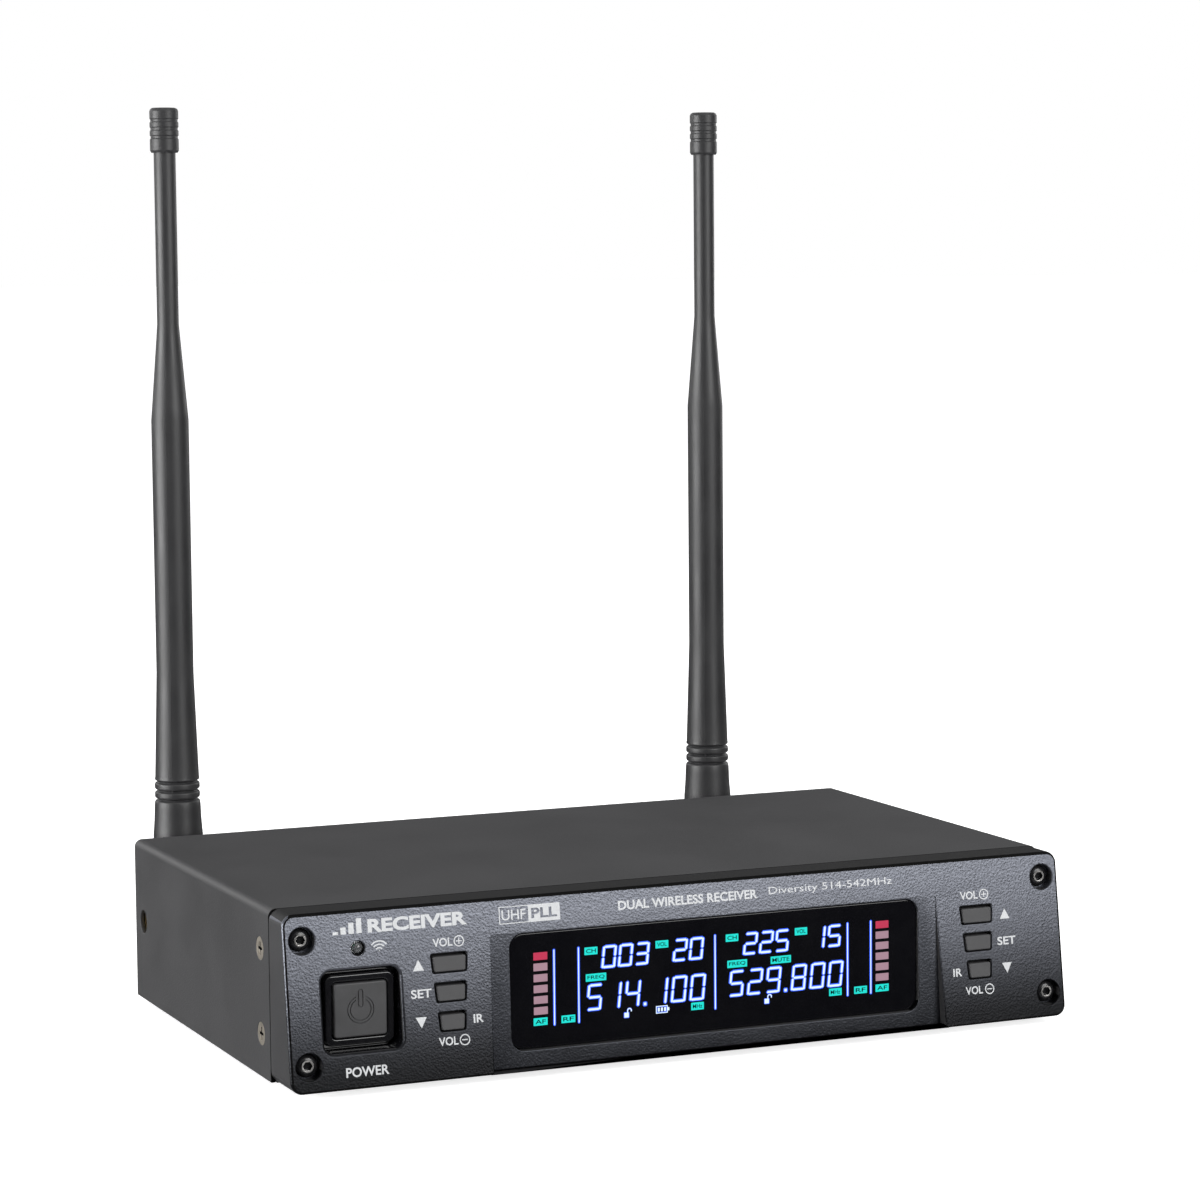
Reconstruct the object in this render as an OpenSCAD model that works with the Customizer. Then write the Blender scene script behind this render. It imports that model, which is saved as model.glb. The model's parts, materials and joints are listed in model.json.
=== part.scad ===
// Half-rack wireless microphone receiver with two articulated whip antennas.
// +X is the viewer's right, +Y points to the rear and +Z is up. The modules draw the unit
// from its front bottom edge (y = 0, z = 0), and seat() moves it so that the origin is
// under the middle of the whole object, on the surface that the feet stand on.

/* [Enclosure] */
// Overall width
body_w = 212; // [204:1:260]
// Height of the enclosure without its feet
body_h = 42.5; // [42:0.5:60]
// Depth from the bezel's front bottom edge to the rear panel
body_d = 131.8; // [126:0.2:180]
// Thickness of the sheet steel
sheet_t = 1.2; // [1:0.1:1.6]
// Outer bend radius of the cover
bend_r = 2; // [1.7:0.1:3]
// Clearance between the cover and the pieces inside it
cover_gap = 0.2; // [0.1:0.05:0.4]
// Diameter of a rubber foot
foot_d = 11; // [8:0.5:14]
// Height of a rubber foot
foot_h = 2; // [1.5:0.5:4]

/* [Bezel] */
// Depth of the bezel's side, at its bottom
bezel_d = 15.4; // [14:0.2:20]
// Angle that the face leans back, in degrees
face_rake = 7.8; // [5:0.1:9.5]
// Thickness of the bezel's face
face_t = 2.5; // [2:0.1:3]
// Thickness of the bezel's rim
rim_t = 2.5; // [2:0.1:3]
// Corner radius in front view
bezel_r = 3; // [1:0.5:5]
// Distance of the corner screws from the side
corner_x = 4.8; // [4.4:0.1:6]
// Distance of the corner screws from the top and bottom
corner_z = 6.4; // [5:0.1:9]
// Depth of a corner screw's seat below the face
seat_depth = 2.9; // [2:0.1:4]

/* [Display] */
// Width of the display window
window_w = 112.7; // [90:0.1:118]
// Height of the display window
window_h = 29; // [22:0.1:30]
// Corner radius of the display window
window_r = 3.5; // [1:0.1:5]
// Distance of the window's middle from the unit's middle
window_x = 8.2; // [6:0.1:11]
// Height of the window's middle
window_z = 18.9; // [18.5:0.1:25]
// Margin of the flat display area beside the window
area_margin = 5.1; // [3:0.1:6]
// How far the display area widens on each side towards the bottom
area_flare = 1; // [0:0.1:2]
// Depth of the display area's step at the bottom
area_step = 3.4; // [2.4:0.1:3.8]
// Height where the display area runs out into the face
area_top = 33.8; // [33.5:0.1:36]

/* [Controls] */
// Distance of the power button's middle from the left side
power_inset = 19; // [18:0.5:24]
// Width of the power button's cap
cap_w = 13.5; // [9:0.1:16.2]
// Height of the power button's cap
cap_h = 13.2; // [9:0.1:14]
// Travel of the power button
power_travel = 2.4; // [1:0.1:2.6]
// Distance of the left keys from the left side
keys_left_inset = 41.8; // [41:0.1:44]
// Distance of the right keys from the right side
keys_right_inset = 24.7; // [20:0.1:26]
// Height of a key's opening
key_h = 4.7; // [3.6:0.1:5.7]
// Vertical distance between keys
key_pitch = 7; // [6.6:0.1:8]
// Width of the lowest key's opening at its bottom
key_w = 6.4; // [5:0.1:8]
// How much a key opening widens for each millimetre of height
key_widen = 0.164; // [0:0.01:0.2]
// Gap beside a key
key_gap = 0.35; // [0.3:0.05:0.5]
// Travel of a key
key_travel = 0.5; // [0.2:0.1:0.8]

/* [Antennas] */
// Distance of each antenna from the unit's middle
antenna_x = 82.4; // [76:0.1:92]
// Distance of the whip's axis behind the rear panel
antenna_back = 38.1; // [36:0.1:48]
// Height of the whip's tip above the enclosure's bottom
antenna_top = 240; // [200:1:300]
// Radius of the whip's foot
foot_r = 6.95; // [6.2:0.05:7.5]
// Radius of the whip's sleeve
sleeve_r = 5.2; // [4:0.1:5.6]
// Radius of the whip's thin upper part
tip_r = 3.02; // [2.4:0.02:3.4]
// Radius of the whip's end cap
end_cap_r = 3.98; // [3.7:0.02:4.6]
// Radius of the whip's hinge pin
pin_r = 1.2; // [0.8:0.1:1.8]
// Radial running clearance of the pin and of the coupling ring
run_gap = 0.06; // [0.02:0.01:0.1]

/* [Rear sockets] */
// Middle of the first balanced output
xlr_a_x = -45; // [-50:1:-43]
// Middle of the second balanced output
xlr_b_x = -11; // [-14:1:-8]
// Middle of the mixed output jack
jack_x = 24; // [20:1:30]
// Radius of the jack's bore
jack_r = 3.25; // [3.22:0.01:3.6]
// Middle of the supply inlet
inlet_x = 52; // [46:1:58]
// Radius of the supply inlet's bore
inlet_r = 2.9; // [2.4:0.1:3.2]
// Thread radius of the side inserts
insert_r = 2.5; // [2:0.1:3]

/* [Hidden] */
$fn = 64;

eps = 0.01;                                   // overrun of a cut or of a joined solid past a face
through = 1;                                  // overrun of a cut that passes right through
seat_gap = 0.05;                              // gap between two pieces that seat on each other
mid_z = body_h / 2;                           // height of the rear sockets
whip_y = body_d + antenna_back;               // where the whips stand
origin_y = (whip_y + foot_r) / 2;             // middle of the whole object's depth
inner_w = body_w - 2 * (sheet_t + cover_gap); // width of what the cover wraps

// bezel and display
area_wall = 2;                                // thicker wall beside the display area
area_w = window_w + 2 * area_margin;
lip = 1.6;                                    // how far the window's flange passes its opening
slip = 0.15;                                  // clearance of the window in its opening
window_seat = face_y(window_z + window_h / 2 + lip + slip) + face_t;
window_face = 5.0;                            // depth of the window's front face
window_flange = 1.0;
board_t = 1.6;
board_y = min(face_y(body_h) + 7.2, bezel_d - board_t - 0.6);  // front face of the front board
panel_t = 2.6;                                // the display glass
panel_gap = 0.3;                              // room for the glass in its holder, both sides together
holder_wall = 2.4;
holder_front = window_seat + window_flange + seat_gap;
corners = [for (x = [-1, 1], z = [corner_z, body_h - corner_z]) [x * (body_w / 2 - corner_x), z]];
cbore_r = 3.3;                                // counterbore of a corner screw
cbore_wall = 1.2;
head_h = 1.65;                                // a corner screw's head

// M3 fasteners
m3_r = 1.5;
m3_clear = 1.7;
countersink_r = 3;
thread_slip = 0.02;                           // radial gap of a thread, so that solids stay apart
collar_r = 2.15;
collar_h = 1.6;

// power button
pocket_w = cap_w + 6.5;
pocket_h = cap_h + 6.4;
pocket_r = 2.5;
pocket_wall = 1.5;
pocket_slip = 0.15;                           // clearance of the surround in its pocket
power_x = max(power_inset, corner_x + cbore_r + 0.9 + pocket_w / 2) - body_w / 2;
power_z = mid_z - 2.7;
pocket_floor = 8;
floor_t = 1;
cap_gap = 0.3;
cap_front = 4;
surround_t = 0.8;
frame_w = 1.7;
cap_flange = 0.8;
cap_brim = 1;                                 // how far the cap's flange passes its sides
cap_wall = 1.5;
cap_hole = cap_gap + 0.2;                      // room for the cap in the bezel, on each side
cap_back = pocket_floor + floor_t + seat_gap;
stem_w = 4;
switch_size = 11;
switch_len = 13;
switch_front = cap_back + cap_flange + power_travel + 0.1;
sign_r = 3.45;                                // outline of the moulded sign
sign_ring = 0.7;
sign_channel = 0.28;
sign_break = 2.4;

// keys: the opening's lowest edge and the height of each opening's middle
key_x = [keys_left_inset - body_w / 2, body_w / 2 - keys_right_inset];
key_z = [mid_z - 0.25 + key_pitch, mid_z - 0.25, mid_z - 0.25 - key_pitch];
key_low = key_z[2] - key_h / 2;
key_proud = 0.35;
key_flange = 0.8;
key_rim = 0.7;                                // how far the flange passes the opening's sides
key_brim = min(key_rim, (key_pitch - key_h - 0.4) / 2);  // and its top and bottom
switch_w = 6;
switch_t = 3.6;
plunger_h = 0.6;
plunger_r = 1.75;
key_stem_r = 1.8;
key_end = board_y - switch_t - plunger_h - key_travel - 0.1;

led_r = 1.5;
led_gap = 0.25;
led_x = power_x - 0.2;
led_leg = 0.25;                               // half the width of a lamp's leg
led_z = mid_z + 12.05;
posts = [for (x = [key_x[0] - 9.2, window_x + area_w / 2 + 1.8], z = [8, body_h - 8]) [x, z]];
post_r = 2.6;
post_bore = 1.1;
post_depth = 5;

// cover screws and side inserts
side_y = bezel_d + 7.6;
side_z = [mid_z - 10.5, mid_z + 10.5];
insert_y = body_d - 7.3;
insert_len = 5;
insert_wall = 1.9;
seam_gap = 0.3;
tab_reach = 7;                                // the base's side tabs, behind their screws
tab_drop = 4;                                 // and below the enclosure's top
opening_side = corner_x + collar_r + 2.3;     // what the base's front wall keeps at each side
opening_edge = 4.2;                           // and at its top and bottom
cover_flange_x = 9;                           // the cover's rear flange, in from the side
cover_flange_h = 7.2;
cover_hole_gap = 0.6;                         // radial gap of the cover's hole round an insert
ear_reach = 7;                                // half the size of the plate that holds an insert
ear_half = 11;
insert_rim = 1.1;                             // radial wall of an insert where it passes that plate
sink = sheet_t - 0.15;                        // height of a countersunk head in the sheet
head_drop = 0.1;                              // how far such a head lies below the surface

// boards
standoff_h = 5;
standoff_r = 2.75;
standoff_in = 5;                              // distance of a standoff from the board's edges
board_z = sheet_t + standoff_h;
main_w = inner_w - 2 * 12;
main_front = bezel_d + 10;
main_back = body_d - 5;
main_top = board_z + board_t;
standoffs = [for (x = [-1, 1], y = [main_front + standoff_in, main_back - standoff_in])
  [x * (main_w / 2 - standoff_in), y]];
board_low = 3.2;                              // the front board's edges
board_high = body_h - 3.5;
rear_flange = 12;
rear_flange_w = 120;
base_x = [-50, 0, 50];
rear_screw_x = [-66, (xlr_a_x + xlr_b_x) / 2, 70];
rear_screw_z = body_h - 4.6;

// rear sockets
hole_gap = 0.2;                               // radial gap of a socket in the rear panel
flange_w = 26;
flange_h = 31;
flange_t = 2;
xlr_r = 11.8;
xlr_bore = 9.4;
xlr_depth = 15;
xlr_len = 20;
xlr_foot = 8;                                 // half the width of its block down to the board
xlr_pin_len = 11;
xlr_screw_x = 9.5;                            // the flange's screws, from its middle
xlr_screw_z = 12;
xlr_pin_r = 1.2;
xlr_pin_ring = 4.8;
jack_w = 16;
jack_len = 25;
jack_thread = 4.6;
jack_out = 4;
inlet_w = 9;
inlet_len = 14;
inlet_out = 1.5;
inlet_depth = 9.5;
inlet_wall = 1.1;
inlet_top = 5.5;
inlet_pin_r = 1.05;

// antenna socket, measured back from the rear panel
nose_r = 4.8;
nose_len = 11;
nose_bore = 4.15;
socket_flange_r = 7;
socket_flange_t = 1.6;
thread_r = 4.75;
thread_gap = 0.15;
nut_t = 2.5;
nut_across = 13;
socket_in = 12;
stud_r = 1;
stud_reach = 5.5;
dielectric_r = 2.3;
lead_r = 1.3;
lead_bend = 5;
shield_w = 36;
shield_d = 40;
shield_h = 7;
shield_wall = 0.5;
shield_neck_r = 2.2;
vent_pitch = 6;
shield_y = body_d - socket_in - 9.8 - lead_bend;  // where a lead goes down into its shield

// coupling ring, knuckle and hinge
ring_from = 2.4;
ring_to = 16;
ring_r = 7.3;
plug_r = 4.9;
knuckle_from = ring_to + 0.4;
shoulder = antenna_back - foot_r - 0.5;
tongue_half = 2.3;
tongue_r = 5.6;
slot_gap = 0.3;
slot_floor = tongue_r + 0.6;
groove_z = [for (i = [-1:1]) mid_z + 28.25 + 2.5 * i];
end_cap_h = 12.3;
cap_socket = 8;
core_r = 0.9;
waist_z = antenna_top - 86.4;                 // where the whip starts and ends to narrow
flare_z = antenna_top - 59.7;
grip_z = mid_z + 61.5;                        // end of the sleeve's taper
foot_top = mid_z + slot_floor + 3;
ring_out = foot_r - 0.65;
cap_floor = antenna_top - end_cap_h + cap_socket;

// flat cable between the two boards, straight back and then down
ribbon_x = window_x + 14;
ribbon_w = 20;
ribbon_t = 0.9;
ribbon_bend = 6;
header_w = 22;
header_half = 2.5;
header_h = 6;
ribbon_z = main_top + header_h + ribbon_bend;
ribbon_start = board_y + board_t + header_h;
ribbon_drop = max(ribbon_start + ribbon_bend + 6, main_front + 8);

// depth of the leaning face at a height
function face_y(z) = z * tan(face_rake);
// depth of the display area's plane at a height
function area_y(z) = area_step + (face_y(area_top) - area_step) * z / area_top;
// width of a key opening at a height
function key_width(z) = key_w + key_widen * (z - key_low);

module seat() translate([0, -origin_y, foot_h]) children();

// rounded rectangle, centred, with true arcs
module round_rect(w, h, r) {
  square([w - 2 * r, h], center = true);
  square([w, h - 2 * r], center = true);
  for (x = [-1, 1], y = [-1, 1]) translate([x * (w / 2 - r), y * (h / 2 - r)]) circle(r);
}

// plate in the XZ plane from depth y0 to y1
module slab(x, z, w, h, r, y0, y1)
  translate([x, y1, z]) rotate([90, 0, 0]) linear_extrude(y1 - y0) round_rect(w, h, r);

module box(x0, x1, y0, y1, z0, z1) translate([x0, y0, z0]) cube([x1 - x0, y1 - y0, z1 - z0]);
module cyl_x(x0, x1, y, z, r) translate([x0, y, z]) rotate([0, 90, 0]) cylinder(r = r, h = x1 - x0);
module cyl_y(x, y0, y1, z, r) translate([x, y0, z]) rotate([-90, 0, 0]) cylinder(r = r, h = y1 - y0);
module cyl_z(x, y, z0, z1, r) translate([x, y, z0]) cylinder(r = r, h = z1 - z0);

// bar along X whose section is a polygon of [y, z] points
module bar(x0, x1, points)
  translate([x0, 0, 0]) rotate([90, 0, 90]) linear_extrude(x1 - x0) polygon(points);

// slice between two planes that lean with the face, a and b behind it
module leaning(x0, x1, z0, z1, a, b)
  bar(x0, x1, [[face_y(z0) + a, z0], [face_y(z0) + b, z0], [face_y(z1) + b, z1], [face_y(z1) + a, z1]]);

// trapezoid in the XZ plane with rounded corners, between depths y0 and y1
module trapezoid(x, z0, z1, w0, w1, r, y0, y1) {
  lean = atan2((w1 - w0) / 2, z1 - z0);
  dx = r * (1 + sin(lean)) / cos(lean);
  low = w0 / 2 - r * (1 - sin(lean)) / cos(lean);
  high = w1 / 2 - dx;
  translate([x, y1, 0]) rotate([90, 0, 0]) linear_extrude(y1 - y0) {
    for (s = [-1, 1]) {
      translate([s * low, z0 + r]) circle(r);
      translate([s * high, z1 - r]) circle(r);
    }
    polygon([[-low, z0], [low, z0], [low + r * cos(lean), z0 + r - r * sin(lean)],
      [high + r * cos(lean), z1 - r - r * sin(lean)], [high, z1], [-high, z1],
      [-high - r * cos(lean), z1 - r - r * sin(lean)], [-low - r * cos(lean), z0 + r - r * sin(lean)]]);
  }
}

// pan-head screw along +Z from its head's underside, with a cross recess
module pan_screw(head_r, head_h, length, r) {
  difference() {
    union() {
      translate([0, 0, -head_h]) cylinder(r = head_r, h = head_h);
      translate([0, 0, -eps]) cylinder(r = r, h = length);
    }
    for (a = [0, 90]) rotate(a) translate([-head_r * 0.55, -0.35, -head_h - eps]) cube([head_r * 1.1, 0.7, 1]);
  }
}

// countersunk screw along +Z from its flat head's face
module flat_screw(head_r, sink, length, r) {
  difference() {
    union() {
      cylinder(r1 = head_r, r2 = m3_r, h = sink);
      cylinder(r = r, h = length);
    }
    for (a = [0, 90]) rotate(a) translate([-1.6, -0.35, -eps]) cube([3.2, 0.7, 0.9]);
  }
}

// hexagon nut along Y
module hex_nut(x, y0, y1, z, across, bore) {
  difference() {
    translate([x, y0, z]) rotate([-90, 30, 0]) cylinder(d = across / cos(30), h = y1 - y0, $fn = 6);
    cyl_y(x, y0 - eps, y1 + eps, z, bore);
  }
}

module base_tray() {
  front = bezel_d;
  color([0.16, 0.16, 0.17]) difference() {
    union() {
      box(-inner_w / 2, inner_w / 2, front, body_d, 0, sheet_t);
      wall(front, front + sheet_t);
      for (s = [-1, 1]) {
        x = s * (inner_w / 2 - sheet_t / 2);
        box(x - sheet_t / 2, x + sheet_t / 2, front, side_y + tab_reach, 0, body_h - tab_drop);
        for (z = side_z) cyl_x(s > 0 ? x - sheet_t / 2 - collar_h : x - eps,
          s > 0 ? x + eps : x + sheet_t / 2 + collar_h, side_y, z, collar_r);
      }
      for (c = corners) cyl_y(c[0], front, front + sheet_t + collar_h, c[1], collar_r);
    }
    // opening behind the bezel for the front board
    slab(0, mid_z, body_w - 2 * opening_side, body_h - 2 * opening_edge, 2, front - through,
      front + sheet_t + through);
    for (c = corners) cyl_y(c[0], front - eps, front + sheet_t + collar_h + eps, c[1], m3_r);
    for (s = [-1, 1], z = side_z) cyl_x(s > 0 ? inner_w / 2 - tab_reach : -inner_w / 2 - through,
      s > 0 ? inner_w / 2 + through : tab_reach - inner_w / 2, side_y, z, m3_r);
    for (x = base_x) translate([x, insert_y, -eps]) {
      cylinder(r1 = countersink_r, r2 = countersink_r - sheet_t - 2 * eps, h = sheet_t + 2 * eps);
    }
  }
}

module cover_profile(w, h, r) intersection() {
  round_rect(w, 2 * h, r);
  translate([-w / 2, 0]) square([w, h]);
}

// upright wall that closes the cover, between depths y0 and y1
module wall(y0, y1)
  translate([0, y1, 0]) rotate([90, 0, 0]) linear_extrude(y1 - y0)
    cover_profile(inner_w, body_h - sheet_t - cover_gap, bend_r - sheet_t);

module top_cover() {
  color([0.13, 0.13, 0.135]) difference() {
    union() {
      translate([0, body_d, 0]) rotate([90, 0, 0]) linear_extrude(body_d - bezel_d - seam_gap) difference() {
        cover_profile(body_w, body_h, bend_r);
        translate([0, -through])
          cover_profile(body_w - 2 * sheet_t, body_h - sheet_t + through, bend_r - sheet_t);
      }
      // flange turned down inside the rear panel
      box(-body_w / 2 + cover_flange_x, body_w / 2 - cover_flange_x, body_d - 2 * sheet_t - seat_gap,
        body_d - sheet_t - seat_gap, body_h - cover_flange_h, body_h - sheet_t / 2);
    }
    for (s = [-1, 1]) {
      for (z = side_z) translate([s * (body_w / 2 + eps), side_y, z]) rotate([0, -90 * s, 0])
        cylinder(r1 = countersink_r + eps, r2 = countersink_r - sheet_t, h = sheet_t + 2 * eps);
      cyl_x(s > 0 ? body_w / 2 - 3 : -body_w / 2 - through, s > 0 ? body_w / 2 + through : 3 - body_w / 2,
        insert_y, mid_z, insert_r + cover_hole_gap);
    }
    for (x = rear_screw_x) cyl_y(x, body_d - 4, body_d - sheet_t, rear_screw_z, m3_r);
  }
}

module rear_panel() {
  back = body_d;
  color([0.15, 0.15, 0.155]) difference() {
    union() {
      intersection() {
        wall(back - sheet_t, back);
        box(-body_w, body_w, 0, back + through, sheet_t, body_h);
      }
      box(-rear_flange_w / 2, rear_flange_w / 2, back - rear_flange, back - eps, sheet_t, 2 * sheet_t);
      for (x = base_x) cyl_z(x, insert_y, 2 * sheet_t - eps, 2 * sheet_t + collar_h, collar_r);
      for (s = [-1, 1]) {
        x = s * (inner_w / 2 - sheet_t / 2);
        box(x - sheet_t / 2, x + sheet_t / 2, insert_y - ear_reach, back - eps, mid_z - ear_half, mid_z + ear_half);
      }
    }
    for (x = [xlr_a_x, xlr_b_x]) {
      cyl_y(x, back - 4, back + through, mid_z, xlr_r + hole_gap);
      for (s = [-1, 1]) cyl_y(x + xlr_screw_x * s, back - 4, back + through, mid_z + xlr_screw_z * s, m3_r);
    }
    cyl_y(jack_x, back - 4, back + through, mid_z, jack_thread + hole_gap);
    cyl_y(inlet_x, back - 4, back + through, mid_z, inlet_r + inlet_wall + hole_gap);
    for (s = [-1, 1]) {
      cyl_y(s * antenna_x, back - 4, back + through, mid_z, thread_r + thread_gap);
      cyl_x(s > 0 ? inner_w / 2 - 3 : -inner_w / 2 - through, s > 0 ? inner_w / 2 + through : 3 - inner_w / 2,
        insert_y, mid_z, insert_r + insert_rim);
    }
    for (x = rear_screw_x) cyl_y(x, back - 4, back + through, rear_screw_z, m3_clear);
    for (x = base_x) cyl_z(x, insert_y, sheet_t - through, 2 * sheet_t + collar_h + through, m3_r);
  }
}

module front_bezel() {
  half = body_w / 2 - rim_t;
  color([0.30, 0.31, 0.34]) difference() {
    union() {
      difference() {
        bezel_block();
        intersection() {
          leaning(-half, half, rim_t, body_h - rim_t, face_t, bezel_d + through);
          box(-half, half, 0, bezel_d + through, 0, body_h);
        }
      }
      intersection() {
        bezel_block();
        union() {
          // thicker wall behind the display area and under the power button's pocket
          box(window_x - area_w / 2 - area_wall, window_x + area_w / 2 + area_wall, 0, window_seat, 0, body_h);
          slab(power_x, power_z, pocket_w + 2 * pocket_wall, pocket_h + 2 * pocket_wall,
            pocket_r + pocket_wall, 0, pocket_floor + floor_t);
          for (c = corners) cyl_y(c[0], 0, bezel_d, c[1], cbore_r + cbore_wall);
          for (p = posts) cyl_y(p[0], 0, board_y, p[1], post_r);
        }
      }
    }
    // display area, a nearly upright plane let into the leaning face
    intersection() {
      bar(-body_w, body_w, [[-5, -1], [area_y(-1), -1], [face_y(area_top), area_top], [-5, area_top]]);
      translate([window_x, bezel_d, 0]) rotate([90, 0, 0]) linear_extrude(bezel_d + 1) polygon([
        [-area_w / 2 - area_flare, -1], [area_w / 2 + area_flare, -1],
        [area_w / 2, area_top], [-area_w / 2, area_top]]);
    }
    slab(window_x, window_z, window_w, window_h, window_r, -through, bezel_d);
    slab(power_x, power_z, pocket_w, pocket_h, pocket_r, -through, pocket_floor);
    slab(power_x, power_z, cap_w + 2 * cap_hole, cap_h + 2 * cap_hole, 1.2, -through, bezel_d);
    for (x = key_x, z = key_z) key_opening(x, z, 0, -through, bezel_d);
    cyl_y(led_x, -through, bezel_d, led_z, led_r + led_gap);
    for (c = corners) {
      cyl_y(c[0], -through, face_y(c[1]) + seat_depth, c[1], cbore_r);
      cyl_y(c[0], -through, bezel_d + through, c[1], m3_clear);
    }
    for (p = posts) cyl_y(p[0], board_y - post_depth, board_y + through, p[1], post_bore);
  }
}

module bezel_block() intersection() {
  slab(0, mid_z, body_w, body_h, bezel_r, -1, bezel_d);
  leaning(-body_w, body_w, -1, body_h + 1, 0, bezel_d + 2);
  box(-body_w, body_w, -2, bezel_d, -1, body_h + 1);
}

// a key's opening at its own height, smaller by a gap on each side
module key_opening(x, z, gap, y0, y1) {
  z0 = z - key_h / 2;
  z1 = z + key_h / 2;
  top = gap > 0 ? gap + 0.3 : 0;
  trapezoid(x, z0 + gap, z1 - top, key_width(z0 + gap) - 2 * gap, key_width(z1 - top) - 2 * gap, 0.5, y0, y1);
}

module rubber_feet() color([0.05, 0.05, 0.05])
  for (x = [-1, 1], y = [bezel_d + 17, body_d - 18]) difference() {
    translate([x * (body_w / 2 - 20), y, -foot_h]) cylinder(d1 = foot_d - 1, d2 = foot_d, h = foot_h);
    translate([x * (body_w / 2 - 20), y, -foot_h - eps]) cylinder(d = foot_d / 2, h = foot_h / 4);
  }

module bezel_screws() color([0.2, 0.2, 0.21]) for (c = corners) {
  seat_y = face_y(c[1]) + seat_depth;
  difference() {
    union() {
      // low domed head
      translate([c[0], seat_y, c[1]]) rotate([90, 0, 0]) rotate_extrude()
        polygon([[0, 0], [2.85, 0], [2.85, 0.5], [2.55, 1.05], [1.95, 1.45], [1.5, head_h], [0, head_h]]);
      cyl_y(c[0], seat_y - eps, bezel_d + sheet_t + collar_h - 0.2, c[1], m3_r - thread_slip);
    }
    translate([c[0], seat_y - head_h - eps, c[1]]) rotate([-90, 0, 0]) cylinder(d = 2 / cos(30), h = 1.1, $fn = 6);
  }
}

module side_screws() color([0.62, 0.58, 0.52]) for (s = [-1, 1], z = side_z)
  translate([s * (body_w / 2 - head_drop), side_y, z]) rotate([0, -90 * s, 0])
    flat_screw(2.9, sink, 6, m3_r - thread_slip);

module base_screws() color([0.62, 0.58, 0.52]) for (x = base_x)
  translate([x, insert_y, head_drop]) flat_screw(2.85, sink, 5, m3_r - thread_slip);

module rear_screws() color([0.1, 0.1, 0.1]) for (x = rear_screw_x)
  translate([x, body_d, rear_screw_z]) rotate([90, 0, 0]) pan_screw(2.7, 1.7, 6, m3_r - thread_slip);

module side_inserts() color([0.72, 0.66, 0.5]) for (s = [-1, 1])
  translate([s * inner_w / 2, insert_y, mid_z]) rotate([0, -90 * s, 0]) difference() {
    union() {
      cylinder(r = insert_r + insert_rim - thread_slip, h = sheet_t);
      translate([0, 0, sheet_t]) cylinder(r = insert_r + insert_wall, h = insert_len);
    }
    translate([0, 0, -through]) cylinder(r = insert_r, h = insert_len + sheet_t + 2 * through);
  }

module display_window() color([0.02, 0.02, 0.03]) {
  slab(window_x, window_z, window_w - 2 * slip, window_h - 2 * slip, window_r - slip, window_face, window_seat + eps);
  slab(window_x, window_z, window_w + 2 * lip, window_h + 2 * lip, window_r, window_seat, window_seat + window_flange);
}

module display_panel() color([0.08, 0.1, 0.2])
  slab(window_x, window_z, window_w - 2, window_h - 2, 1, holder_front + seat_gap, holder_front + panel_t);

module display_holder() color([0.75, 0.75, 0.72]) difference() {
  slab(window_x, window_z, window_w - 2 + holder_wall, window_h - 2 + holder_wall, 1.5, holder_front, board_y);
  slab(window_x, window_z, window_w - 2 + panel_gap, window_h - 2 + panel_gap, 1.15,
    holder_front - through, holder_front + panel_t);
}

module power_surround() color([0.05, 0.05, 0.055]) difference() {
  union() {
    slab(power_x, power_z, pocket_w - 2 * pocket_slip, pocket_h - 2 * pocket_slip, pocket_r - pocket_slip,
      pocket_floor - surround_t, pocket_floor);
    slab(power_x, power_z, cap_w + 2 * (cap_gap + frame_w), cap_h + 2 * (cap_gap + frame_w), 1.8,
      cap_front + 0.6, pocket_floor);
  }
  slab(power_x, power_z, cap_w + 2 * cap_gap, cap_h + 2 * cap_gap, 1.1, 0, pocket_floor + through);
}

module power_button() color([0.17, 0.17, 0.175]) {
  rear = cap_back + cap_flange;
  difference() {
    union() {
      slab(power_x, power_z, cap_w, cap_h, 0.8, cap_front, rear);
      slab(power_x, power_z, cap_w + 2 * cap_brim, cap_h + 2 * cap_brim, 1.2, cap_back, rear);
    }
    slab(power_x, power_z, cap_w - 2 * cap_wall, cap_h - 2 * cap_wall, 0.8, cap_front + 2, rear + through);
    power_sign(0.25);
  }
  slab(power_x, power_z, stem_w, stem_w, 0.4, cap_front + 1.9, rear + 5.2);
}

// outline of the on and off sign, engraved as a channel around a broken ring and a bar
module power_sign(depth) {
  bar_w = 1.4;
  bar_h = 4.5;
  bar_r = 0.69;
  translate([power_x, cap_front + depth, power_z]) rotate([90, 0, 0]) linear_extrude(depth + through) {
    for (r = [sign_r, sign_r - sign_ring]) difference() {
      circle(r);
      circle(r - sign_channel);
      translate([-sign_break / 2, 0]) square([sign_break, 5]);
    }
    translate([0, sign_r - sign_ring]) difference() {
      round_rect(bar_w, bar_h, bar_r);
      round_rect(bar_w - 2 * sign_channel, bar_h - 2 * sign_channel, bar_r - sign_channel);
    }
  }
}

module power_switch() {
  rear = switch_front + switch_len;
  color([0.08, 0.08, 0.08]) difference() {
    union() {
      slab(power_x, power_z, switch_size, switch_size, 0.6, switch_front, rear);
      slab(power_x, power_z, switch_size + 5, switch_size + 3, 0.6, board_y + board_t, board_y + board_t + 1.5);
      for (x = [-3, 3]) box(power_x + x - 0.5, power_x + x + 0.5, rear - 1, rear + 3, power_z - 1.5, power_z + 1.5);
    }
    slab(power_x, power_z, stem_w + 0.4, stem_w + 0.4, 0.4, switch_front - through, switch_front + 8.5);
  }
}

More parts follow.
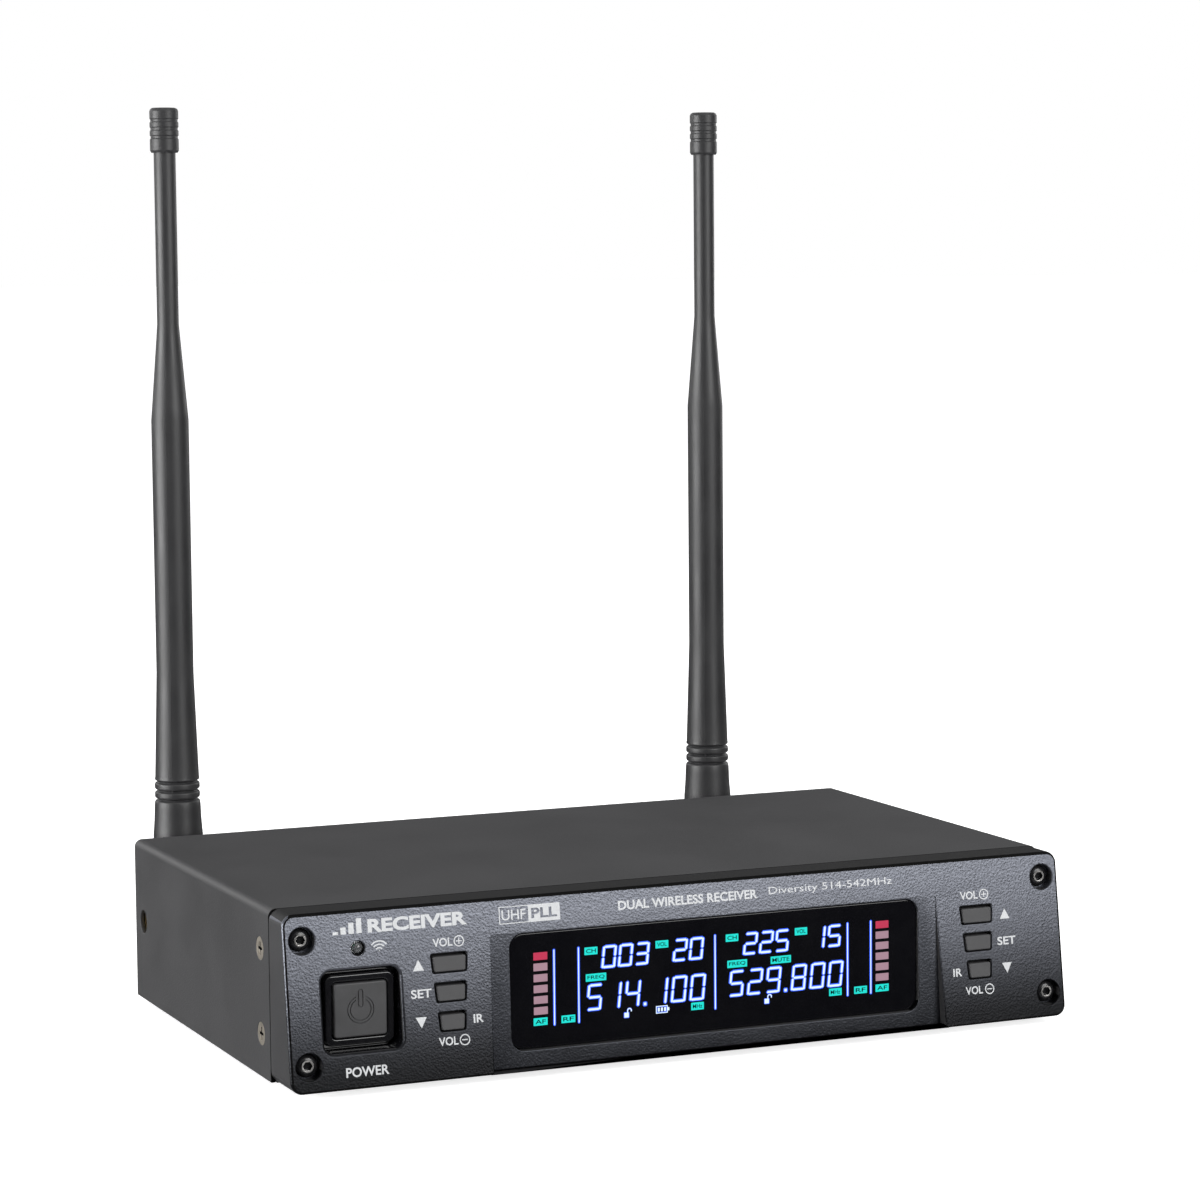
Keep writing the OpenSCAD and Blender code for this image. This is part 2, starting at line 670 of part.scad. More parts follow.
module key(side, row) {
  x = key_x[side];
  z = key_z[row];
  wide = key_width(z + key_h / 2);
  color([0.2, 0.2, 0.205]) {
    intersection() {
      key_opening(x, z, key_gap, -2, bezel_d);
      leaning(x - wide, x + wide, z - key_h, z + key_h, -key_proud, face_t + 0.1);
    }
    intersection() {
      slab(x, z, wide + 2 * key_rim, key_h + 2 * key_brim, 0.6, -2, bezel_d);
      leaning(x - wide, x + wide, z - key_h, z + key_h, face_t + seat_gap, face_t + seat_gap + key_flange);
    }
    intersection() {
      cyl_y(x, 0, key_end, z, key_stem_r);
      leaning(x - wide, x + wide, z - key_h, z + key_h, face_t + 0.1, bezel_d);
    }
  }
}

module left_up_key() key(0, 0);
module left_set_key() key(0, 1);
module left_down_key() key(0, 2);
module right_up_key() key(1, 0);
module right_set_key() key(1, 1);
module right_down_key() key(1, 2);

module key_switches() color([0.1, 0.1, 0.1]) for (x = key_x, z = key_z) {
  box(x - switch_w / 2, x + switch_w / 2, board_y - switch_t, board_y, z - switch_w / 2, z + switch_w / 2);
  cyl_y(x, board_y - switch_t - plunger_h, board_y - switch_t + eps, z, plunger_r);
}

module status_led() {
  dome = face_y(led_z) - 0.1 + led_r;
  rear = dome + 4;
  color([0.9, 0.9, 0.92]) {
    translate([led_x, dome, led_z]) sphere(led_r);
    cyl_y(led_x, dome, rear, led_z, led_r);
    cyl_y(led_x, rear - 1, rear, led_z, led_r + 0.4);
    for (x = [led_x - led_r / 2, led_x + led_r / 2])
      box(x - led_leg, x + led_leg, rear - 0.1, board_y, led_z - led_leg, led_z + led_leg);
  }
}

module front_board() {
  w = body_w - 2 * (corner_x + cbore_r + cbore_wall + 0.6);
  color([0.05, 0.3, 0.16]) difference() {
    box(-w / 2, w / 2, board_y, board_y + board_t, board_low, board_high);
    slab(power_x, power_z, switch_size + 0.6, switch_size + 0.6, 0.8, board_y - through, board_y + board_t + through);
    for (p = posts) cyl_y(p[0], board_y - through, board_y + board_t + through, p[1], post_bore + 0.2);
  }
}

module front_board_screws() color([0.7, 0.7, 0.68]) for (p = posts)
  translate([p[0], board_y + board_t, p[1]]) rotate([90, 0, 0]) pan_screw(2.2, 1.4, 5.5, post_bore - thread_slip);

module main_board() color([0.05, 0.3, 0.16]) difference() {
  box(-main_w / 2, main_w / 2, main_front, main_back, board_z, main_top);
  for (p = standoffs) cyl_z(p[0], p[1], board_z - through, main_top + through, m3_clear);
}

module board_standoffs() color([0.75, 0.7, 0.5]) for (p = standoffs) difference() {
  cyl_z(p[0], p[1], sheet_t, board_z, standoff_r);
  cyl_z(p[0], p[1], sheet_t + 0.5, board_z + through, m3_r);
}

module board_screws() color([0.7, 0.7, 0.68]) for (p = standoffs)
  translate([p[0], p[1], main_top]) rotate([180, 0, 0]) pan_screw(2.7, 1.7, 5, m3_r - thread_slip);

module shield(s) color([0.75, 0.75, 0.76]) {
  x = s * antenna_x;
  back = shield_y + 7;
  difference() {
    box(x - shield_w / 2, x + shield_w / 2, back - shield_d, back, main_top, main_top + shield_h);
    box(x - shield_w / 2 + shield_wall, x + shield_w / 2 - shield_wall, back - shield_d + shield_wall,
      back - shield_wall, main_top - through, main_top + shield_h - shield_wall);
    for (i = [-2:2], j = [1:4])
      cyl_z(x + vent_pitch * i, back - shield_d + vent_pitch * j, main_top + 2, main_top + shield_h + 2, 1);
  }
  cyl_z(x, shield_y, main_top + shield_h - eps, mid_z - lead_bend, shield_neck_r);
}
module rf_shield_left() shield(-1);
module rf_shield_right() shield(1);

module capacitors() color([0.1, 0.12, 0.3]) for (i = [0:3])
  cyl_z(inlet_x - 18 + 12 * i, main_front + 36, main_top, main_top + 12, 4);

module chips() color([0.06, 0.06, 0.06]) {
  for (i = [0:2]) box(-50 + 26 * i, -38 + 26 * i, main_front + 30, main_front + 42, main_top, main_top + 1.4);
  for (i = [0:3]) box(-54 + 15 * i, -48 + 15 * i, main_front + 54, main_front + 63, main_top, main_top + 1.8);
}

module ribbon_headers() color([0.08, 0.08, 0.08]) {
  low = ribbon_x - header_w / 2;
  high = ribbon_x + header_w / 2;
  box(low, high, board_y + board_t, ribbon_start, ribbon_z - header_half, ribbon_z + header_half);
  box(low, high, ribbon_drop - header_half, ribbon_drop + header_half, main_top, main_top + header_h);
}

module ribbon_cable() color([0.6, 0.6, 0.62]) translate([ribbon_x - ribbon_w / 2, 0, 0]) rotate([90, 0, 90])
  linear_extrude(ribbon_w) {
    translate([ribbon_start, ribbon_z - ribbon_t / 2]) square([ribbon_drop - ribbon_bend - ribbon_start, ribbon_t]);
    translate([ribbon_drop - ribbon_bend, ribbon_z - ribbon_bend]) intersection() {
      difference() {
        circle(ribbon_bend + ribbon_t / 2);
        circle(ribbon_bend - ribbon_t / 2);
      }
      translate([-eps, 0]) square(ribbon_bend * 2);
    }
  }

module coax_leads() color([0.12, 0.12, 0.12]) for (s = [-1, 1]) {
  end = body_d - socket_in;
  cyl_y(s * antenna_x, shield_y + lead_bend, end, mid_z, lead_r);
  translate([s * antenna_x, shield_y + lead_bend, mid_z - lead_bend]) rotate([90, 0, -90])
    rotate_extrude(angle = 90) translate([lead_bend, 0]) circle(lead_r);
}

module xlr_output(x) {
  back = body_d;
  color([0.08, 0.08, 0.085]) difference() {
    union() {
      slab(x, mid_z, flange_w, flange_h, 2, back, back + flange_t);
      cyl_y(x, back - xlr_len, back + eps, mid_z, xlr_r);
      box(x - xlr_foot, x + xlr_foot, back - xlr_len, back - 6, main_top, mid_z);
    }
    cyl_y(x, back + flange_t - xlr_depth, back + flange_t + through, mid_z, xlr_bore);
    for (s = [-1, 1]) translate([x + xlr_screw_x * s, back + flange_t + eps, mid_z + xlr_screw_z * s])
      rotate([90, 0, 0]) cylinder(r1 = countersink_r, r2 = m3_r, h = flange_t + 2 * eps);
  }
}
module xlr_output_a() xlr_output(xlr_a_x);
module xlr_output_b() xlr_output(xlr_b_x);

module xlr_pins() color([0.8, 0.8, 0.8]) {
  floor_y = body_d + flange_t - xlr_depth;
  for (x = [xlr_a_x, xlr_b_x], a = [30, 150, 270]) {
    px = x + xlr_pin_ring * cos(a);
    pz = mid_z + xlr_pin_ring * sin(a);
    cyl_y(px, floor_y, floor_y + xlr_pin_len, pz, xlr_pin_r);
    translate([px, floor_y + xlr_pin_len, pz]) sphere(xlr_pin_r);
  }
}

module xlr_screws() color([0.1, 0.1, 0.1]) for (x = [xlr_a_x, xlr_b_x], s = [-1, 1])
  translate([x + xlr_screw_x * s, body_d + flange_t - seat_gap, mid_z + xlr_screw_z * s]) rotate([90, 0, 0])
    flat_screw(2.85, 1.8, 6, m3_r - thread_slip);

module mix_jack() color([0.09, 0.09, 0.09]) difference() {
  union() {
    box(jack_x - jack_w / 2, jack_x + jack_w / 2, body_d - sheet_t - jack_len, body_d - sheet_t, main_top,
      mid_z + jack_w / 2);
    cyl_y(jack_x, body_d - sheet_t - eps, body_d + jack_out, mid_z, jack_thread);
  }
  cyl_y(jack_x, body_d - sheet_t - jack_len + 2, body_d + jack_out + through, mid_z, jack_r);
}

module mix_jack_nut() color([0.75, 0.75, 0.75])
  hex_nut(jack_x, body_d, body_d + 2.2, mid_z, 2 * jack_thread + 3, jack_thread + thread_slip);

module supply_inlet() color([0.07, 0.07, 0.07]) difference() {
  union() {
    box(inlet_x - inlet_w / 2, inlet_x + inlet_w / 2, body_d - sheet_t - inlet_len, body_d - sheet_t, main_top,
      mid_z + inlet_top);
    cyl_y(inlet_x, body_d - sheet_t - eps, body_d + inlet_out, mid_z, inlet_r + inlet_wall);
  }
  cyl_y(inlet_x, body_d + inlet_out - inlet_depth, body_d + inlet_out + through, mid_z, inlet_r);
}

module supply_inlet_pin() color([0.8, 0.8, 0.8]) {
  floor_y = body_d + inlet_out - inlet_depth;
  cyl_y(inlet_x, floor_y, floor_y + inlet_depth - 2, mid_z, inlet_pin_r);
  translate([inlet_x, floor_y + inlet_depth - 2, mid_z]) sphere(inlet_pin_r);
}

// bayonet socket through the rear panel
module antenna_socket(s) {
  x = s * antenna_x;
  color([0.78, 0.78, 0.76]) {
    difference() {
      union() {
        cyl_y(x, body_d - socket_in + 6, body_d + eps, mid_z, thread_r);
        cyl_y(x, body_d, body_d + socket_flange_t, mid_z, socket_flange_r);
        cyl_y(x, body_d, body_d + nose_len, mid_z, nose_r);
        cyl_x(x - stud_reach, x + stud_reach, body_d + nose_len - 3, mid_z, stud_r);
      }
      cyl_y(x, body_d + 2.6, body_d + nose_len + through, mid_z, nose_bore);
    }
    difference() {
      cyl_y(x, body_d - socket_in, body_d + nose_len - 2, mid_z, dielectric_r);
      cyl_y(x, body_d + 1, body_d + nose_len, mid_z, 1);
    }
  }
}
module antenna_socket_left() antenna_socket(-1);
module antenna_socket_right() antenna_socket(1);

module socket_nuts() color([0.78, 0.78, 0.76]) for (s = [-1, 1])
  hex_nut(s * antenna_x, body_d - sheet_t - nut_t, body_d - sheet_t, mid_z, nut_across, thread_r + thread_slip);

module coupling_ring(s) {
  x = s * antenna_x;
  color([0.7, 0.7, 0.68]) difference() {
    cyl_y(x, body_d + ring_from, body_d + ring_to, mid_z, ring_r);
    cyl_y(x, body_d + ring_from - through, body_d + nose_len + 0.8, mid_z, stud_reach + 0.4);
    cyl_y(x, body_d + nose_len, body_d + ring_to + through, mid_z, plug_r + run_gap);
    // grip flutes
    for (i = [0:15]) translate([x, 0, mid_z]) rotate([0, 22.5 * i, 0])
      cyl_y(ring_r + 0.35, body_d + ring_from + 2.5, body_d + ring_to - 2.5, 0, 0.8);
  }
}
module coupling_ring_left() coupling_ring(-1);
module coupling_ring_right() coupling_ring(1);

// plug, housing and hinge tongue of an antenna
module knuckle(s) {
  x = s * antenna_x;
  color([0.09, 0.09, 0.09]) {
    difference() {
      union() {
        cyl_y(x, body_d + nose_len + 0.4, body_d + knuckle_from + 1, mid_z, plug_r);
        cyl_y(x, body_d + 3.4, body_d + nose_len + 1, mid_z, nose_bore - 0.35);
        cyl_y(x, body_d + knuckle_from, body_d + shoulder, mid_z, foot_r - 0.2);
        box(x - tongue_half, x + tongue_half, body_d + shoulder - 1, whip_y, mid_z - tongue_r, mid_z + tongue_r);
        cyl_x(x - tongue_half, x + tongue_half, whip_y, mid_z, tongue_r);
      }
      cyl_y(x, body_d, body_d + nose_len - 1, mid_z, dielectric_r + 0.35);
      cyl_x(x - 10, x + 10, whip_y, mid_z, pin_r + run_gap);
      for (i = [0:2]) translate([x, body_d + knuckle_from + 3 + 3 * i, mid_z]) rotate([-90, 0, 0])
        rotate_extrude() translate([foot_r - 0.2, 0]) circle(0.5);
    }
    cyl_y(x, body_d + 3, body_d + nose_len, mid_z, 0.65);
  }
}
module knuckle_left() knuckle(-1);
module knuckle_right() knuckle(1);

module hinge_pin(s) color([0.6, 0.6, 0.6])
  cyl_x(s * antenna_x - foot_r + 0.5, s * antenna_x + foot_r - 0.5, whip_y, mid_z, pin_r);
module hinge_pin_left() hinge_pin(-1);
module hinge_pin_right() hinge_pin(1);

// outline of the rubber whip, from the fork up, as [radius, height] points
whip_points = concat(
  [[core_r, foot_top - 1], [foot_r, foot_top - 1], [foot_r, mid_z + 15.5], [foot_r - 0.35, mid_z + 20],
    [foot_r - 0.5, mid_z + 24]],
  [for (z = groove_z, p = [[ring_out, -0.5], [ring_out - 0.75, -0.1], [ring_out - 0.75, 0.1], [ring_out, 0.5]])
    [p[0], z + p[1]]],
  [[foot_r - 0.8, groove_z[2] + 1.2], [sleeve_r, grip_z], [sleeve_r, waist_z], [tip_r, flare_z],
    [tip_r, cap_floor], [core_r, cap_floor]]);

module whip(s) {
  x = s * antenna_x;
  color([0.1, 0.1, 0.1]) {
    translate([x, whip_y, 0]) rotate_extrude() polygon(whip_points);
    difference() {
      intersection() {
        cyl_z(x, whip_y, mid_z - foot_r, foot_top, foot_r);
        union() {
          cyl_x(x - foot_r, x + foot_r, whip_y, mid_z, foot_r);
          box(x - foot_r, x + foot_r, whip_y - foot_r, whip_y + foot_r, mid_z, foot_top);
        }
      }
      box(x - tongue_half - slot_gap, x + tongue_half + slot_gap, whip_y - foot_r - 1, whip_y + foot_r + 1,
        mid_z - foot_r - 1, mid_z + slot_floor);
      cyl_x(x - foot_r - 1, x + foot_r + 1, whip_y, mid_z, pin_r);
      cyl_z(x, whip_y, mid_z + slot_floor + 1, foot_top + 1, core_r);
    }
  }
}
module whip_left() whip(-1);
module whip_right() whip(1);

module whip_core(s) color([0.75, 0.45, 0.25])
  cyl_z(s * antenna_x, whip_y, mid_z + slot_floor + 1, cap_floor - 1, core_r - 0.03);
module whip_core_left() whip_core(-1);
module whip_core_right() whip_core(1);

module end_cap(s) {
  low = antenna_top - end_cap_h;
  ribs = [for (i = [0:2]) low + 4.2 + 2.3 * i];
  color([0.1, 0.1, 0.1]) translate([s * antenna_x, whip_y, 0]) rotate_extrude() polygon(concat(
    [[tip_r + 0.03, low], [end_cap_r - 0.35, low], [end_cap_r, low + 0.6]],
    [for (z = ribs, p = [[0, -0.55], [-0.22, -0.3], [-0.22, 0.3], [0, 0.55]]) [end_cap_r + p[0], z + p[1]]],
    [[end_cap_r, antenna_top - 0.9], [end_cap_r - 0.25, antenna_top - 0.3], [end_cap_r - 0.8, antenna_top],
      [0, antenna_top], [0, low + cap_socket + 0.05], [tip_r + 0.03, low + cap_socket + 0.05]]));
}
module end_cap_left() end_cap(-1);
module end_cap_right() end_cap(1);

seat() base_tray();
seat() top_cover();
seat() rear_panel();
seat() front_bezel();
seat() rubber_feet();
seat() bezel_screws();
seat() side_screws();
seat() base_screws();
seat() rear_screws();
seat() side_inserts();
seat() display_window();
seat() display_panel();
seat() display_holder();
seat() power_surround();
seat() power_button();
seat() power_switch();
seat() left_up_key();
seat() left_set_key();
seat() left_down_key();
seat() right_up_key();
seat() right_set_key();
seat() right_down_key();
seat() key_switches();
seat() status_led();
seat() front_board();
seat() front_board_screws();
seat() main_board();
seat() board_standoffs();
seat() board_screws();
seat() rf_shield_left();
seat() rf_shield_right();
seat() capacitors();
seat() chips();
seat() ribbon_headers();
seat() ribbon_cable();
seat() coax_leads();
seat() xlr_output_a();
seat() xlr_output_b();
seat() xlr_pins();
seat() xlr_screws();
seat() mix_jack();
seat() mix_jack_nut();
seat() supply_inlet();
seat() supply_inlet_pin();
seat() antenna_socket_left();
seat() antenna_socket_right();
seat() socket_nuts();
seat() coupling_ring_left();
seat() coupling_ring_right();
seat() knuckle_left();
seat() knuckle_right();
seat() hinge_pin_left();
seat() hinge_pin_right();
seat() whip_left();
seat() whip_right();
seat() whip_core_left();
seat() whip_core_right();
seat() end_cap_left();
seat() end_cap_right();
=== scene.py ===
import json
import math

import bmesh
import bpy
from mathutils import Matrix, Vector


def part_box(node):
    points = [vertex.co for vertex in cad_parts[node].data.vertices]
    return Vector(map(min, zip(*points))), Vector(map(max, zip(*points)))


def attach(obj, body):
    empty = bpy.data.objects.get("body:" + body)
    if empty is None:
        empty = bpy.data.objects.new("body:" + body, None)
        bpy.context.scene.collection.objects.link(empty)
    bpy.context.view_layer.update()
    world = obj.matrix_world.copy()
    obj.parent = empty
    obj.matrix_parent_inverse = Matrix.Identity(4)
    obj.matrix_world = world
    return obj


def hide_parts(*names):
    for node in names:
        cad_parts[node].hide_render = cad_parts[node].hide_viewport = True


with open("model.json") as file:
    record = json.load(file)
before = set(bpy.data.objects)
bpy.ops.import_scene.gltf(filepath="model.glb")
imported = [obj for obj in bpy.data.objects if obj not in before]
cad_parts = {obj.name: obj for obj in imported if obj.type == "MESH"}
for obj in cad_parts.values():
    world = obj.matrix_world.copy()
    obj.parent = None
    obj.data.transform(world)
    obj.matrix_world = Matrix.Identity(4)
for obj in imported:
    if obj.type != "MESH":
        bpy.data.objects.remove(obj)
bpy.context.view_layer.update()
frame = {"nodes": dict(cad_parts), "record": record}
mm = 0.001
print("frame loaded")


camera = {
    "place": (-0.3674, -0.88345, 0.19898),
    "turn": -23.284,  # degrees about the vertical, then the tilt and the roll
    "tilt": 84.571,
    "roll": -0.511,
    "lens": 107.29,
    "sensor": 36,
    "nearest": 0.05,
}


def addCamera():
    data = bpy.data.cameras.new("receiverCamera")
    data.lens = camera["lens"]
    data.sensor_width = camera["sensor"]
    data.clip_start = camera["nearest"]
    eye = bpy.data.objects.new("receiverCamera", data)
    bpy.context.scene.collection.objects.link(eye)
    turn = Matrix.Rotation(math.radians(camera["turn"]), 4, "Z")
    tilt = Matrix.Rotation(math.radians(camera["tilt"]), 4, "X")
    roll = Matrix.Rotation(math.radians(camera["roll"]), 4, "Z")
    eye.matrix_world = Matrix.Translation(camera["place"]) @ turn @ tilt @ roll
    bpy.context.scene.camera = eye


addCamera()
print("camera set")


def selectOnly(obj):
    bpy.ops.object.select_all(action="DESELECT")
    obj.select_set(True)
    bpy.context.view_layer.objects.active = obj


def joinPieces(pieces, name):
    bpy.ops.object.select_all(action="DESELECT")
    for piece in pieces:
        piece.select_set(True)
    bpy.context.view_layer.objects.active = pieces[0]
    if len(pieces) > 1:
        bpy.ops.object.join()
    whole = bpy.context.view_layer.objects.active
    whole.name = name
    whole.data.name = name
    return whole


def paint(obj, finish):
    obj.data.materials.clear()
    obj.data.materials.append(finishes[finish])


def mount(obj, body, finish):
    paint(obj, finish)
    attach(obj, body)


finishes = {}
bezelLow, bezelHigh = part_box("front_bezel")

finishSettings = {
    # dark and light tone, roughness, metal, grain size and depth in mm, kind of grain, mottle size in mm
    "cover_paint": dict(
        dark=(0.024, 0.024, 0.025), light=(0.036, 0.036, 0.0375), rough=(0.50, 0.58),
        metal=0.0, grain=0.42, depth=0.055, kind="peel", mottle=30),
    "chassis_paint": dict(
        dark=(0.020, 0.020, 0.021), light=(0.030, 0.030, 0.032), rough=(0.50, 0.60),
        metal=0.0, grain=0.34, depth=0.026, kind="peel", mottle=30),
    # the bezel paint's shadeFade darkens its colour towards the face's foot: painted shade
    "bezel_paint": dict(
        dark=(0.060, 0.063, 0.073), light=(0.098, 0.103, 0.119), rough=(0.34, 0.42),
        metal=0.85, grain=0.52, depth=0.050, kind="leather", mottle=18, shadeFade=(0.06, 1.30)),
    "gloss_black": dict(
        dark=(0.004, 0.004, 0.005), light=(0.007, 0.007, 0.008), rough=(0.10, 0.16),
        metal=0.0, grain=1.6, depth=0.003, kind="peel", mottle=6),
    "key_plastic": dict(
        dark=(0.030, 0.030, 0.031), light=(0.046, 0.046, 0.048), rough=(0.48, 0.60),
        metal=0.0, grain=0.16, depth=0.008, kind="spark", mottle=5),
    "black_plastic": dict(
        dark=(0.012, 0.012, 0.013), light=(0.022, 0.022, 0.023), rough=(0.36, 0.50),
        metal=0.0, grain=0.25, depth=0.006, kind="spark", mottle=6),
    "white_plastic": dict(
        dark=(0.60, 0.60, 0.57), light=(0.72, 0.72, 0.69), rough=(0.40, 0.52),
        metal=0.0, grain=0.30, depth=0.005, kind="spark", mottle=8),
    "rubber": dict(
        dark=(0.014, 0.014, 0.015), light=(0.024, 0.024, 0.025), rough=(0.40, 0.50),
        metal=0.0, grain=0.30, depth=0.022, kind="spark", mottle=16),
    "display_glass": dict(
        dark=(0.004, 0.005, 0.012), light=(0.008, 0.010, 0.022), rough=(0.08, 0.14),
        metal=0.0, grain=2.5, depth=0.001, kind="peel", mottle=20),
    "window_lens": dict(
        dark=(0.002, 0.002, 0.003), light=(0.004, 0.004, 0.005), rough=(0.05, 0.09),
        metal=0.0, grain=4.0, depth=0.0015, kind="peel", mottle=20),
    "led_lens": dict(
        dark=(0.80, 0.82, 0.85), light=(0.90, 0.92, 0.95), rough=(0.03, 0.06),
        metal=0.0, grain=1.5, depth=0.001, kind="peel", mottle=3),
    "screw_steel": dict(
        dark=(0.30, 0.27, 0.22), light=(0.46, 0.42, 0.36), rough=(0.38, 0.52),
        metal=0.85, grain=0.35, depth=0.004, kind="turned", mottle=2.5),
    "black_screw": dict(
        dark=(0.006, 0.006, 0.007), light=(0.016, 0.016, 0.017), rough=(0.14, 0.24),
        metal=0.2, grain=0.30, depth=0.002, kind="turned", mottle=2.5),
    "nickel": dict(
        dark=(0.44, 0.43, 0.41), light=(0.58, 0.57, 0.55), rough=(0.24, 0.36),
        metal=1.0, grain=0.30, depth=0.002, kind="turned", mottle=4),
    "tinplate": dict(
        dark=(0.50, 0.50, 0.51), light=(0.66, 0.66, 0.68), rough=(0.28, 0.42),
        metal=1.0, grain=0.80, depth=0.003, kind="peel", mottle=7),
    "brass": dict(
        dark=(0.50, 0.38, 0.16), light=(0.70, 0.55, 0.27), rough=(0.24, 0.38),
        metal=1.0, grain=0.30, depth=0.003, kind="turned", mottle=3),
    "copper": dict(
        dark=(0.50, 0.24, 0.13), light=(0.68, 0.36, 0.22), rough=(0.26, 0.40),
        metal=1.0, grain=0.30, depth=0.003, kind="turned", mottle=3),
    "board": dict(
        dark=(0.010, 0.085, 0.040), light=(0.018, 0.130, 0.062), rough=(0.22, 0.36),
        metal=0.0, grain=0.90, depth=0.006, kind="peel", mottle=6),
    "ribbon": dict(
        dark=(0.34, 0.34, 0.35), light=(0.46, 0.46, 0.47), rough=(0.38, 0.50),
        metal=0.0, grain=0.60, depth=0.010, kind="peel", mottle=5),
    # near-black painted shade, with little specular, for the bezel's rounded edge and the cover's cut edge in
    # the seam
    "rim_painted_shade": dict(
        dark=(0.002, 0.002, 0.002), light=(0.004, 0.004, 0.004), rough=(0.50, 0.60),
        metal=0.0, grain=0.50, depth=0.006, kind="peel", mottle=18),
    "rim_top": dict(
        dark=(0.009, 0.009, 0.009), light=(0.014, 0.014, 0.0145), rough=(0.52, 0.60),
        metal=0.0, grain=0.42, depth=0.040, kind="peel", mottle=30),
    "print_white": dict(
        dark=(0.47, 0.48, 0.49), light=(0.56, 0.57, 0.58), rough=(0.42, 0.55),
        metal=0.0, grain=0.30, depth=0.003, kind="spark", mottle=3),
}
# the bezel paint with less painted shade at its foot, for the block round the window
finishSettings["lip_less_painted_shade"] = dict(finishSettings["bezel_paint"], shadeFade=(0.42, 1.30))
surface = {
    "band": (0.3, 0.7),  # the middle part of a noise, which tone and sheen spread over
    "grainShare": 0.4,  # of the tone, the rest follows the slow mottle
    "mottleDetail": 4,
    "cellSmoothness": 0.7,
    "detail": {"peel": 1.5, "spark": 5, "turned": 5},
    "breakUp": {"peel": 0.45, "spark": 0.7, "turned": 0.7},
}


def makeFinish(name, s):
    material = bpy.data.materials.new(name.replace("_", " ").title().replace(" ", ""))
    material.use_nodes = True
    tree = material.node_tree
    nodes, links = tree.nodes, tree.links
    nodes.clear()
    out = nodes.new("ShaderNodeOutputMaterial")
    shader = nodes.new("ShaderNodeBsdfPrincipled")
    links.new(shader.outputs["BSDF"], out.inputs["Surface"])
    place = nodes.new("ShaderNodeTexCoord").outputs["Object"]
    shader.inputs["Metallic"].default_value = s["metal"]

    mottle = nodes.new("ShaderNodeTexNoise")  # slow change of tone and sheen
    mottle.inputs["Scale"].default_value = 1 / (s["mottle"] * mm)
    mottle.inputs["Detail"].default_value = surface["mottleDetail"]
    links.new(place, mottle.inputs["Vector"])

    grainSize = 1 / (s["grain"] * mm)
    if s["kind"] == "leather":  # shallow cells with soft ridges between them
        grain = nodes.new("ShaderNodeTexVoronoi")
        grain.feature = "SMOOTH_F1"
        grain.inputs["Scale"].default_value = grainSize
        grain.inputs["Smoothness"].default_value = surface["cellSmoothness"]
        height = grain.outputs["Distance"]
    else:
        grain = nodes.new("ShaderNodeTexNoise")
        grain.inputs["Scale"].default_value = grainSize
        grain.inputs["Detail"].default_value = surface["detail"][s["kind"]]
        grain.inputs["Roughness"].default_value = surface["breakUp"][s["kind"]]
        height = grain.outputs["Fac"]
    links.new(place, grain.inputs["Vector"])

    tone = nodes.new("ShaderNodeValToRGB")
    for end, position, shade in zip(tone.color_ramp.elements, surface["band"], (s["dark"], s["light"])):
        end.position = position
        end.color = (*shade, 1)
    blend = nodes.new("ShaderNodeMath")  # tone follows the slow mottle and the fine grain together
    blend.operation = "MULTIPLY_ADD"
    blend.inputs[1].default_value = surface["grainShare"]
    links.new(height, blend.inputs[0])
    slow = nodes.new("ShaderNodeMath")
    slow.operation = "MULTIPLY"
    slow.inputs[1].default_value = 1 - surface["grainShare"]
    links.new(mottle.outputs["Fac"], slow.inputs[0])
    links.new(slow.outputs[0], blend.inputs[2])
    links.new(blend.outputs[0], tone.inputs["Fac"])
    colour = tone.outputs["Color"]
    if "shadeFade" in s:  # painted shade: darker towards the foot of the face
        split = nodes.new("ShaderNodeSeparateXYZ")
        links.new(place, split.inputs["Vector"])
        shadeFade = nodes.new("ShaderNodeMapRange")
        shadeFade.interpolation_type = "SMOOTHSTEP"
        shadeFade.inputs["From Min"].default_value = bezelLow.z
        shadeFade.inputs["From Max"].default_value = bezelHigh.z
        shadeFade.inputs["To Min"].default_value, shadeFade.inputs["To Max"].default_value = s["shadeFade"]
        links.new(split.outputs["Z"], shadeFade.inputs["Value"])
        darken = nodes.new("ShaderNodeVectorMath")
        darken.operation = "SCALE"
        links.new(colour, darken.inputs["Vector"])
        links.new(shadeFade.outputs["Result"], darken.inputs["Scale"])
        colour = darken.outputs["Vector"]
    links.new(colour, shader.inputs["Base Color"])

    rough = nodes.new("ShaderNodeMapRange")
    rough.inputs["From Min"].default_value, rough.inputs["From Max"].default_value = surface["band"]
    rough.inputs["To Min"].default_value, rough.inputs["To Max"].default_value = s["rough"]
    links.new(mottle.outputs["Fac"], rough.inputs["Value"])
    links.new(rough.outputs["Result"], shader.inputs["Roughness"])

    bump = nodes.new("ShaderNodeBump")
    bump.inputs["Strength"].default_value = 1
    bump.inputs["Distance"].default_value = s["depth"] * mm
    links.new(height, bump.inputs["Height"])
    links.new(bump.outputs["Normal"], shader.inputs["Normal"])
    finishes[name] = material


glow = {
    "cloud": 3,  # size in mm of the back light's unevenness, and how dim it gets
    "dim": 0.84,
    "glass": (0.01, 0.01, 0.012, 1),
    "rough": 0.25,
}


